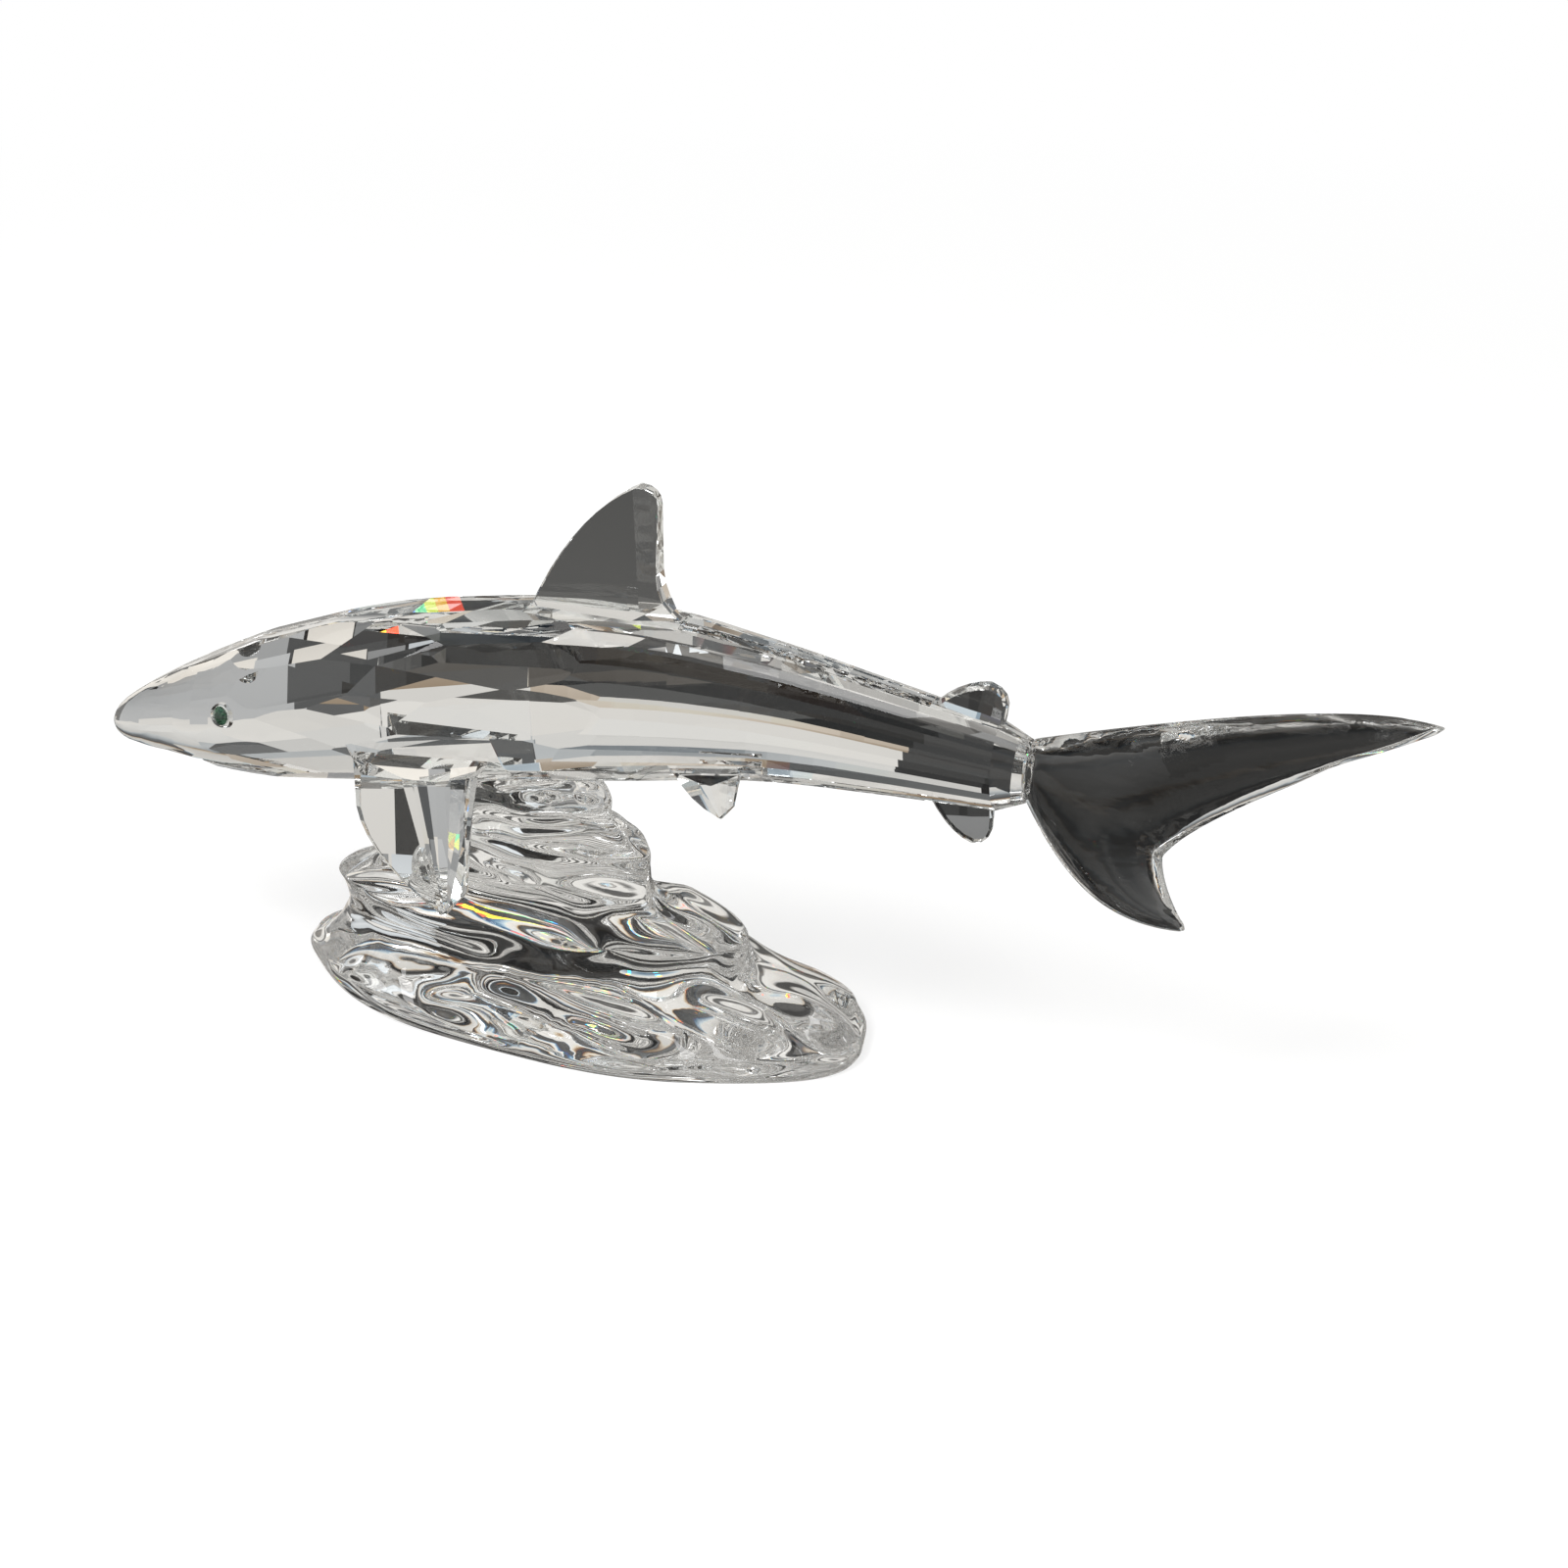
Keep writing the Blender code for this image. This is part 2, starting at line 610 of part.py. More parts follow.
def make_pelvics(body, material):
    """The two small wedges under the belly."""
    root, length, half = PELVIC_ROOT, PELVIC_LENGTH, PELVIC_HALF
    tip = Vector((PELVIC_TIP_X, length))
    sink = -length * 0.5
    leading = bend(Vector((0, 0)), Vector((0.20 * root, 0.62 * length)), tip, 4)
    trailing = [Vector((0.92 * root, 0.72 * length)), Vector((0.96 * root, 0.3 * length))]
    start, foot = [Vector((0, sink))], [Vector((root, 0)), Vector((root, sink))]
    bm = bmesh.new()
    plate(bm, start + leading + trailing + foot, half * 1.1)
    profile = (
        (0.0, 0.45 * half),
        (0.30 * root, 0.85 * half),
        (0.55 * root, half),
        (0.78 * root, 0.66 * half),
        (root, 0.35 * half),
    )
    fan_facets(bm, profile, tip * 1.05, PELVIC_TIP_HALF)
    mount_pair(
        bm, body, material, "pelvic_fin", PELVIC_X, root, PELVIC_SEAT_DEGREES,
        PELVIC_SPLAY_DEGREES, PELVIC_SEAT_DEPTH, half, PELVIC_SHOULDER_RISE,
    )


def mount_pair(bm, body, material, name, x, root, seat_degrees, splay_degrees, depth, half, rise):
    """Puts a fin on the left flank and its mirror image on the right.

    The fin hangs down, splayed outwards. Its root is cut to the seat on the body, and a facet
    slopes up to the flank from its shoulder.
    """
    seat = seat_frame(x, x + root, seat_degrees, depth)
    along = seat.col[0].to_3d()
    splay = math.radians(splay_degrees)
    down = Vector((0, -math.sin(splay), -math.cos(splay)))
    out = (down - along * down.dot(along)).normalized()
    turn = Matrix((along, out.cross(along), out)).transposed().to_4x4()
    place = Matrix.Translation(seat.translation) @ turn
    bmesh.ops.transform(bm, matrix=place, verts=bm.verts)
    facing = seat.col[2].to_3d()
    grind(bm, seat.translation + facing * GLUE_GAP, -facing)
    shoulder = place @ Vector((0, half * SHOULDER_START, -rise))
    tilt = math.radians(SHOULDER_DEGREES)
    grind(bm, shoulder, Vector((0, -math.sin(tilt), math.cos(tilt))))
    for side, suffix in ((-1, "_left"), (1, "_right")):
        shape = bm.copy() if side < 0 else mirrored(bm)
        frame = seat_frame(x, x + root, seat_degrees, depth, side)
        cut_seat(body, name + suffix + "_seat", frame, root, half * 2.4)
        add_piece(name + suffix, shape, material)
    bm.free()


def make_eyes(body, material):
    """Round domed stones in sockets on both sides of the head."""
    for side, suffix in ((-1, "_left"), (1, "_right")):
        normal = body_normal(EYE_X, EYE_DEGREES, side)
        surface = body_point(EYE_X, EYE_DEGREES, side) - normal * EYE_SINK
        turn = normal.to_track_quat("Z", "Y").to_matrix().to_4x4()
        place = Matrix.Translation(surface) @ turn
        socket = bmesh.new()
        depth = EYE_SEAT_DEPTH + GLUE_GAP
        bmesh.ops.create_cone(
            socket, cap_ends=True, segments=EYE_SIDES, radius1=EYE_RADIUS + GLUE_GAP,
            radius2=EYE_RADIUS + GLUE_GAP, depth=2 * depth, matrix=place,
        )
        add_cutter("eye_socket" + suffix, socket, body)
        stone = bmesh.new()
        profile = (
            (0.55, -EYE_SEAT_DEPTH),
            (1.0, 0.0),
            (0.86, EYE_DOME * 0.45),
            (0.48, EYE_DOME * 0.92),
            (0.22, EYE_DOME),
        )
        rows = []
        for share, height in profile:
            ring = []
            for i in range(EYE_SIDES):
                turned = 2 * math.pi * i / EYE_SIDES
                radius = EYE_RADIUS * share
                ring.append(Vector((radius * math.cos(turned), radius * math.sin(turned), height)))
            rows.append(ring)
        skin(stone, rows, closed=True)
        bmesh.ops.holes_fill(stone, edges=stone.edges, sides=0)
        bmesh.ops.transform(stone, matrix=place, verts=stone.verts)
        add_piece("eye" + suffix, stone, material, sharp_degrees=35.0)


def tail_point(reach, height):
    """Point in the tail's own plane, from its reach behind the stalk and its height."""
    return Vector((STALK_END_X + GLUE_GAP + reach, height))


def tail_outline_and_spine():
    """Pairs of points round the tail, one on the rim and one on the spine of its lobe.

    The half thickness at the spine comes third.
    """
    hub, fork = tail_point(*TAIL_HUB), tail_point(*TAIL_FORK)
    root_top = tail_point(0, TAIL_CENTRE_Z + TAIL_ROOT_HALF_HEIGHT)
    root_bottom = tail_point(0, TAIL_CENTRE_Z - TAIL_ROOT_HALF_HEIGHT)
    root_mid = tail_point(0, TAIL_CENTRE_Z)
    upper_tip, lower_tip = tail_point(*TAIL_UPPER_TIP), tail_point(*TAIL_LOWER_TIP)
    upper_count = TAIL_ROOT_STEPS + TAIL_UPPER_STEPS
    lower_count = TAIL_ROOT_STEPS + TAIL_LOWER_STEPS

    top = bend(root_top, tail_point(*TAIL_TOP_PULL), upper_tip, upper_count)
    back = bend(upper_tip, tail_point(*TAIL_BACK_PULL), fork, TAIL_UPPER_STEPS)
    for point in back:
        away = (point.x - tail_point(TAIL_NOTCH_REACH, 0).x) / TAIL_NOTCH_WIDTH
        point.y += TAIL_NOTCH_DEPTH * math.exp(-away * away)
    rear = bend(fork, tail_point(*TAIL_REAR_PULL), lower_tip, TAIL_LOWER_STEPS)
    under = bend(lower_tip, tail_point(*TAIL_UNDER_PULL), root_bottom, lower_count)
    rim = top + back[1:] + rear[1:] + under[1:]

    stem = bend(root_mid, (root_mid + hub) / 2, hub, TAIL_ROOT_STEPS)
    upper_end = upper_tip.lerp(hub, TAIL_UPPER_SPINE_SETBACK)
    lower_end = lower_tip.lerp(hub, TAIL_LOWER_SPINE_SETBACK)
    upper = bend(hub, tail_point(*TAIL_UPPER_SPINE_PULL), upper_end, TAIL_UPPER_STEPS)
    lower = bend(hub, tail_point(*TAIL_LOWER_SPINE_PULL), lower_end, TAIL_LOWER_STEPS)
    spine = stem + upper[1:] + upper[-2::-1] + lower[1:] + lower[-2::-1] + stem[-2::-1]

    stem_half = fade(TAIL_ROOT_HALF_WIDTH, TAIL_HUB_HALF_WIDTH, TAIL_ROOT_STEPS)
    upper_half = fade(TAIL_HUB_HALF_WIDTH, TAIL_TIP_HALF_WIDTH, TAIL_UPPER_STEPS)
    lower_half = fade(TAIL_HUB_HALF_WIDTH, TAIL_TIP_HALF_WIDTH, TAIL_LOWER_STEPS)
    halves = stem_half + upper_half[1:] + upper_half[-2::-1]
    halves += lower_half[1:] + lower_half[-2::-1] + stem_half[-2::-1]
    return rim, spine, halves


def fade(start, end, steps):
    """Values that go evenly from start to end."""
    return [start + (end - start) * i / steps for i in range(steps + 1)]


def make_tail(material):
    """Moulded tail: from its rim the surface swells to the spine of each lobe, on both sides."""
    rim, spine, halves = tail_outline_and_spine()
    bm = bmesh.new()
    for side in (-1, 1):
        rows = []
        for j in range(TAIL_ROWS + 1):
            angle = math.pi / 2 * j / TAIL_ROWS
            inward, swell = 1 - math.cos(angle), math.sin(angle)
            row = []
            for edge, middle, half in zip(rim, spine, halves):
                place = edge.lerp(middle, inward)
                row.append(Vector((place.x, side * half * swell, place.y)))
            rows.append(row)
        skin(bm, rows, closed=False)
    bmesh.ops.remove_doubles(bm, verts=bm.verts, dist=0.00001)
    bmesh.ops.dissolve_degenerate(bm, edges=bm.edges, dist=0.00001)
    bmesh.ops.holes_fill(bm, edges=bm.edges, sides=0)
    return add_piece("tail_fin", bm, material, sharp_degrees=50.0)


def under_body(x, y):
    """Height of the body's underside above a point, a glue gap below it."""
    centre, half_height, half_width = body_section(x)
    aside = min(1.0, abs(y) / (half_width + GLUE_GAP))
    return centre - half_height * math.sqrt(1 - aside * aside) - GLUE_GAP


def base_point(step, around):
    """Point of the wave base, so many sections up and so far round.

    Ripples run level round the walls, folds wander in and out, and swells lift the terraces.
    """
    stations = [(i, *section) for i, section in enumerate(BASE_SECTIONS)]
    centre_x, centre_y, half_length, half_depth, height = through(stations, step)
    inner = step / (len(BASE_SECTIONS) - 1)
    out = Vector((half_length * math.cos(around), half_depth * math.sin(around), 0))
    lobes = 1 + sum(share * math.cos(count * around + phase) for count, share, phase in BASE_LOBES)
    out = Matrix.Rotation(math.radians(BASE_TURN_DEGREES) * (1 - inner), 3, "Z") @ (out * lobes)
    point = Vector((centre_x, centre_y, height)) + out
    if step > 0:
        fold = noise.noise(point / FOLD_PITCH + Vector((0, 0, FOLD_LEAN * height / FOLD_PITCH)))
        phase = height / RIPPLE_PITCH + 0.5 * noise.noise(point / SWELL_PITCH)
        push = FOLD_DEPTH * fold + RIPPLE_DEPTH * math.sin(2 * math.pi * phase)
        swell = noise.noise(Vector((point.x, point.y * SWELL_SQUEEZE, 0)) / SWELL_PITCH)
        fade_in = min(1.0, height / BASE_SECTIONS[CALM_SECTION][-1])
        point += out.normalized() * push * fade_in
        point.z += SWELL_HEIGHT * swell * fade_in
    point.z = min(point.z, under_body(point.x, point.y))
    return point


def make_base(material):
    """Stacked waves on an oval foot, with a crest shaped to the belly."""
    rows = []
    for i in range(BASE_STEPS + 1):
        step = (len(BASE_SECTIONS) - 1) * i / BASE_STEPS
        turns = [2 * math.pi * spoke / BASE_SPOKES for spoke in range(BASE_SPOKES)]
        rows.append([base_point(step, around) for around in turns])
    bm = bmesh.new()
    skin(bm, rows, closed=True)
    bmesh.ops.holes_fill(bm, edges=bm.edges, sides=0)
    return add_piece("wave_base", bm, material, sharp_degrees=80.0)


def main():
    """Builds the figurine in an empty scene."""
    for thing in list(bpy.data.objects):
        bpy.data.objects.remove(thing)
    clear = crystal("clear_crystal", (0.93, 0.94, 0.94))
    fin_clear = crystal("fin_crystal", (0.90, 0.91, 0.91))
    tail_clear = crystal("tail_crystal", (0.88, 0.89, 0.89))
    base_clear = crystal("base_crystal", (0.91, 0.93, 0.93))
    stone = crystal("eye_stone", (0.01, 0.05, 0.03), roughness=0.05, transmission=0.0)
    body = make_body(clear)
    make_dorsal(body, fin_clear)
    make_stalk_fins(body, fin_clear)
    make_pectorals(body, fin_clear)
    make_pelvics(body, fin_clear)
    make_eyes(body, stone)
    make_tail(tail_clear)
    make_base(base_clear)


main()
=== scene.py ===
"""Dressed model of a cut-crystal shark on a moulded glass wave.

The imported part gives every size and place. The ground pieces keep its facets and get crisp
polished edges, the tail and the base are made finer and get their ripples, and the finishes,
the light and the camera follow. Units are metres.
"""

from __future__ import annotations

import logging
import math
from dataclasses import dataclass, field
from enum import Enum
from typing import Any

import bmesh
import bpy
from mathutils import Matrix, Vector, noise


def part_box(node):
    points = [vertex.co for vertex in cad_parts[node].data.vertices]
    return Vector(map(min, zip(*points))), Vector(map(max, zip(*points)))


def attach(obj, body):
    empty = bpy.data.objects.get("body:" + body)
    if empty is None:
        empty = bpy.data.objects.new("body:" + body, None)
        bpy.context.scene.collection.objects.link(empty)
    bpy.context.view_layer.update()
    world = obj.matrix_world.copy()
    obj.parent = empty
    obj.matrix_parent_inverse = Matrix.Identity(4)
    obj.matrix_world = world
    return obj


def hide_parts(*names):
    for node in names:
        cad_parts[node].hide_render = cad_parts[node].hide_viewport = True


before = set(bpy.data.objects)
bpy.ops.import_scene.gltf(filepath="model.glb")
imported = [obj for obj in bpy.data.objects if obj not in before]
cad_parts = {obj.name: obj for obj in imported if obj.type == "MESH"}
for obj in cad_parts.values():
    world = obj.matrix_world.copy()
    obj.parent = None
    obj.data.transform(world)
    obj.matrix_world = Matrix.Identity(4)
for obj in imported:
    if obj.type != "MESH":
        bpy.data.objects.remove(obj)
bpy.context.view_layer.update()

log = logging.getLogger("crystal_shark")

MM = 0.001
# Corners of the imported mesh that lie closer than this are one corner.
WELD = 0.002 * MM
# Triangles that differ by less than this, and make a square enough face, are paired.
PAIR_ANGLE = math.radians(60.0)


class Polish(Enum):
    """How the surface of a piece was finished."""

    GROUND = "flat where a face is one ground plane"
    MOULDED = "smooth all over"


class Number:
    """A shader value on which Python's operators make Math nodes."""

    def __init__(self, bench: Bench, socket: bpy.types.NodeSocket) -> None:
        """Wraps one output socket."""
        self.bench = bench
        self.socket = socket

    def math(self, operation: str, *others: Number | float, clamp: bool = False) -> Number:
        """Value of a Math node with this one as its first input.

        Args:
            operation: the Math node's operation.
            others: what goes into its second and third input.
            clamp: whether the result is kept between 0 and 1.

        Returns:
            The node's value.
        """
        inputs = {0: self}
        inputs.update({i + 1: other for i, other in enumerate(others)})
        settings = {"operation": operation, "use_clamp": clamp}
        return self.bench.value("ShaderNodeMath", settings, inputs)

    def __add__(self, other: Number | float) -> Number:
        """This value plus another."""
        return self.math("ADD", other)

    __radd__ = __add__

    def __sub__(self, other: Number | float) -> Number:
        """This value less another."""
        return self.math("SUBTRACT", other)

    def __rsub__(self, other: float) -> Number:
        """A number less this value."""
        return (self * -1.0) + other

    def __mul__(self, other: Number | float) -> Number:
        """This value times another."""
        return self.math("MULTIPLY", other)

    __rmul__ = __mul__

    def __truediv__(self, other: Number | float) -> Number:
        """This value over another."""
        return self.math("DIVIDE", other)

    def __rtruediv__(self, other: float) -> Number:
        """A number over this value."""
        return self.math("POWER", -1.0) * other

    def clamped(self) -> Number:
        """This value kept between 0 and 1."""
        return self.math("ADD", 0.0, clamp=True)


class Bench:
    """The node tree of one material or of the world."""

    def __init__(self, tree: bpy.types.NodeTree) -> None:
        """Empties the tree."""
        self.tree = tree
        tree.nodes.clear()

    def node(
        self,
        kind: str,
        settings: dict[str, Any] | None = None,
        inputs: dict[str | int, Any] | None = None,
    ) -> bpy.types.Node:
        """Adds one node.

        Args:
            kind: the node's type.
            settings: its own settings, set first. The stops of a ramp are given as "stops".
            inputs: a value, a socket, a node or a Number for each input that is set.

        Returns:
            The node.
        """
        made = self.tree.nodes.new(kind)
        for name, value in (settings or {}).items():
            if name == "stops":
                self._set_stops(made.color_ramp, value)
            else:
                setattr(made, name, value)
        for name, value in (inputs or {}).items():
            if isinstance(value, Number):
                value = value.socket
            if isinstance(value, bpy.types.Node):
                value = value.outputs[0]
            if isinstance(value, bpy.types.NodeSocket):
                self.tree.links.new(value, made.inputs[name])
            else:
                made.inputs[name].default_value = value
        return made

    def value(
        self,
        kind: str,
        settings: dict[str, Any] | None = None,
        inputs: dict[str | int, Any] | None = None,
        output: str | int = 0,
    ) -> Number:
        """Adds one node and gives one of its outputs as a Number.

        Args:
            kind: the node's type.
            settings: its own settings.
            inputs: what goes into its inputs.
            output: the output that is wanted.

        Returns:
            That output's value.
        """
        return Number(self, self.node(kind, settings, inputs).outputs[output])

    @staticmethod
    def _set_stops(ramp: bpy.types.ColorRamp, stops: list[tuple[float, float]]) -> None:
        """Gives a ramp its grey stops.

        Args:
            ramp: the ramp.
            stops: the place and the brightness of each stop.
        """
        while len(ramp.elements) < len(stops):
            ramp.elements.new(1.0)
        for element, (place, level) in zip(ramp.elements, stops):
            element.position = place
            element.color = (level, level, level, 1.0)

    def place(self, centre: Vector, scale: Vector | float = 1.0) -> bpy.types.NodeSocket:
        """Object coordinates, centred and scaled for a pattern.

        Args:
            centre: the point that becomes the pattern's origin.
            scale: how much the pattern is enlarged, along each axis.

        Returns:
            The socket with the coordinates.
        """
        factors = Vector((scale,) * 3) if isinstance(scale, float) else scale
        moved = Vector([-c * f for c, f in zip(centre, factors)])
        coordinates = self.node("ShaderNodeTexCoord").outputs["Object"]
        mapped = self.node(
            "ShaderNodeMapping",
            {"vector_type": "POINT"},
            {"Vector": coordinates, "Location": moved, "Scale": factors},
        )
        return mapped.outputs[0]

    def finish(self, surface: bpy.types.Node, kind: str = "ShaderNodeOutputMaterial") -> None:
        """Joins the last shader to the tree's output."""
        self.node(kind, None, {"Surface": surface})


@dataclass(frozen=True)
class CrystalFinish:
    """Clear lead crystal, with the faint tint, cords and polish marks of the real glass.

    Attributes:
        name: the material's name.
        slot: the name of the slot that it stands for; not used.
        tint: colour that the glass passes.
        tint_far: colour that it passes in its cloudier streaks.
        ior: how strongly it bends light.
        haze: roughness of the polished surface.
        haze_marks: what polish marks add to it.
        mark_scale: how many marks there are in a metre.
        mark_level: how much of the surface has none.
        mark_edge: how sharply they start.
        cord_scale: how many streaks of uneven glass there are in a metre.
        ripple_scale: how many ripples of the surface there are in a metre.
        ripple_height: depth of those ripples, in metres.
        flow: how much closer the patterns lie along each axis.
    """

    name: str
    slot: str
    tint: tuple[float, float, float] = (0.975, 0.985, 0.98)
    tint_far: tuple[float, float, float] = (0.93, 0.945, 0.945)
    ior: float = 1.55
    haze: float = 0.0
    haze_marks: float = 0.03
    mark_scale: float = 900.0
    mark_level: float = 0.62
    mark_edge: float = 6.0
    cord_scale: float = 40.0
    ripple_scale: float = 0.0
    ripple_height: float = 0.0
    flow: tuple[float, float, float] = (1.0, 1.0, 2.4)

    def make(self) -> bpy.types.Material:
        """Makes the material.

        Returns:
            The material, named after the finish.
        """
        material = bpy.data.materials.new(self.name)
        material.use_nodes = True
        bench = Bench(material.node_tree)
        where = bench.place(Vector((0.0, 0.0, 0.0)), Vector(self.flow))
        streaks = bench.value(
            "ShaderNodeTexNoise",
            None,
            {"Vector": where, "Scale": self.cord_scale, "Detail": 3.0, "Distortion": 1.2},
        )
        tint = bench.node(
            "ShaderNodeMix",
            {"data_type": "RGBA"},
            {0: streaks, 6: (*self.tint, 1.0), 7: (*self.tint_far, 1.0)},
        )
        marks = bench.value(
            "ShaderNodeTexNoise",
            None,
            {"Vector": where, "Scale": self.mark_scale, "Detail": 5.0, "Roughness": 0.7},
        )
        spots = ((marks - self.mark_level) * self.mark_edge).clamped()
        inputs: dict[str | int, Any] = {
            "Base Color": tint.outputs[2],
            "Roughness": spots * self.haze_marks + self.haze,
            "IOR": self.ior,
            "Transmission Weight": 1.0,
            "Specular IOR Level": 0.5,
        }
        if self.ripple_scale:
            inputs["Normal"] = self._ripples(bench, where)
        bench.finish(bench.node("ShaderNodeBsdfPrincipled", None, inputs))
        material.diffuse_color = (*self.tint, 1.0)
        return material

    def _ripples(self, bench: Bench, where: bpy.types.NodeSocket) -> bpy.types.Node:
        """Fine fire-polished ripples of a moulded surface.

        Args:
            bench: the material's bench.
            where: the coordinates of the pattern.

        Returns:
            The Bump node.
        """
        waves = bench.value(
            "ShaderNodeTexNoise",
            None,
            {"Vector": where, "Scale": self.ripple_scale, "Detail": 1.5, "Distortion": 0.8},
        )
        return bench.node(
            "ShaderNodeBump",
            None,
            {"Height": waves, "Distance": self.ripple_height, "Strength": 1.0},
        )


@dataclass(frozen=True)
class EyeFinish:
    """Dark green stone with a black centre and a bright setting line round it.

    Attributes:
        name: the material's name.
        slot: the name of the slot that it stands for; not used.
        radius: radius of the stone.
        pupil: share of it that is black.
        pupil_edge: how sharply the flecks start round that.
        iris: colour of the stone.
        glint: colour of its flecks.
        fleck_scale: how many flecks there are in a metre.
        fleck_level: how much of the stone has none.
        fleck_edge: how sharply they start.
        setting: colour of the line round the stone.
        setting_from: share of the radius where that line starts.
        setting_edge: how sharply it starts.
        haze: roughness of the polished stone.
        haze_flecks: what the flecks add to it.
    """

    name: str
    slot: str
    radius: float = 1.5 * MM
    pupil: float = 0.52
    pupil_edge: float = 5.0
    iris: tuple[float, float, float] = (0.004, 0.016, 0.010)
    glint: tuple[float, float, float] = (0.035, 0.085, 0.050)
    fleck_scale: float = 2600.0
    fleck_level: float = 0.28
    fleck_edge: float = 2.2
    setting: tuple[float, float, float] = (0.62, 0.63, 0.60)
    setting_from: float = 0.93
    setting_edge: float = 30.0
    haze: float = 0.04
    haze_flecks: float = 0.12

    def make(self, centre: Vector) -> bpy.types.Material:
        """Makes the material for the stone at one place.

        Args:
            centre: the middle of the stone.

        Returns:
            The material.
        """
        material = bpy.data.materials.new(self.name)
        material.use_nodes = True
        bench = Bench(material.node_tree)
        where = bench.place(centre)
        reach = bench.value("ShaderNodeVectorMath", {"operation": "LENGTH"}, {0: where}, "Value")
        share = reach / self.radius
        flecks = bench.value(
            "ShaderNodeTexVoronoi", None, {"Vector": where, "Scale": self.fleck_scale}, "Distance"
        )
        fleck = ((flecks - self.fleck_level) * self.fleck_edge).clamped()
        lit = fleck * ((share - self.pupil) * self.pupil_edge).clamped()
        colour = bench.node(
            "ShaderNodeMix",
            {"data_type": "RGBA"},
            {0: lit, 6: (*self.iris, 1.0), 7: (*self.glint, 1.0)},
        )
        rim = ((share - self.setting_from) * self.setting_edge).clamped()
        rimmed = bench.node(
            "ShaderNodeMix",
            {"data_type": "RGBA"},
            {0: rim, 6: colour.outputs[2], 7: (*self.setting, 1.0)},
        )
        surface = bench.node(
            "ShaderNodeBsdfPrincipled",
            None,
            {
                "Base Color": rimmed.outputs[2],
                "Roughness": lit * self.haze_flecks + self.haze,
                "IOR": 1.6,
                "Coat Weight": 1.0,
                "Coat Roughness": 0.02,
            },
        )
        bench.finish(surface)
        material.diffuse_color = (*self.iris, 1.0)
        return material


@dataclass(frozen=True)
class FloorFinish:
    """Matt white paper that the camera sees as a white ground.

    Attributes:
        name: the material's name.
        colour: the paper's colour.
        glow: share of what the camera sees that is plain white light.
        fade_from: distance from the figurine where the floor starts to fade into the white.
        fade_over: over what distance it fades.
    """

    name: str = "floor_paper"
    colour: tuple[float, float, float] = (0.88, 0.88, 0.87)
    glow: float = 0.72
    fade_from: float = 0.16
    fade_over: float = 0.40

    def make(self) -> bpy.types.Material:
        """Makes the material.

        Returns:
            The material.
        """
        material = bpy.data.materials.new(self.name)
        material.use_nodes = True
        bench = Bench(material.node_tree)
        paper = (*self.colour, 1.0)
        matt = bench.node("ShaderNodeBsdfDiffuse", None, {"Color": paper, "Roughness": 0.5})
        white = bench.node("ShaderNodeEmission", None, {"Color": (1.0, 1.0, 1.0, 1.0)})
        seen = bench.value("ShaderNodeLightPath", None, None, "Is Camera Ray")
        where = bench.place(Vector((0.0, 0.0, 0.0)))
        reach = bench.value("ShaderNodeVectorMath", {"operation": "LENGTH"}, {0: where}, "Value")
        faded = ((reach - self.fade_from) / self.fade_over).clamped()
        shown = seen * (faded * (1.0 - self.glow) + self.glow)
        bench.finish(bench.node("ShaderNodeMixShader", None, {0: shown, 1: matt, 2: white}))
        return material


@dataclass(frozen=True)
class BoardFinish:
    """Board that shines evenly, or more and more from its foot to its top.

    Attributes:
        name: the material's name.
        foot: brightness at its foot.
        top: brightness at its top.
        low: height of its foot over the origin of its object.
        high: height of its top.
        colour: its colour.
    """

    name: str
    foot: float
    top: float
    low: float
    high: float
    colour: tuple[float, float, float] = (1.0, 1.0, 1.0)

    def make(self) -> bpy.types.Material:
        """Makes the material, which lights nothing by itself.

        Returns:
            The material.
        """
        material = bpy.data.materials.new(self.name)
        material.use_nodes = True
        bench = Bench(material.node_tree)
        axes = bench.node(
            "ShaderNodeSeparateXYZ", None, {0: bench.place(Vector((0.0, 0.0, self.low)))}
        )
        share = (Number(bench, axes.outputs["Z"]) / (self.high - self.low)).clamped()
        peak = max(self.foot, self.top)
        shown = bench.node(
            "ShaderNodeMix",
            {"data_type": "RGBA"},
            {0: share, 6: self._shade(self.foot / peak), 7: self._shade(self.top / peak)},
        )
        settings = {"Color": shown.outputs[2], "Strength": peak}
        bench.finish(bench.node("ShaderNodeEmission", None, settings))
        material.cycles.emission_sampling = "NONE"
        return material

    def _shade(self, share: float) -> tuple[float, float, float, float]:
        """A share of the board's colour."""
        return (*(share * part for part in self.colour), 1.0)


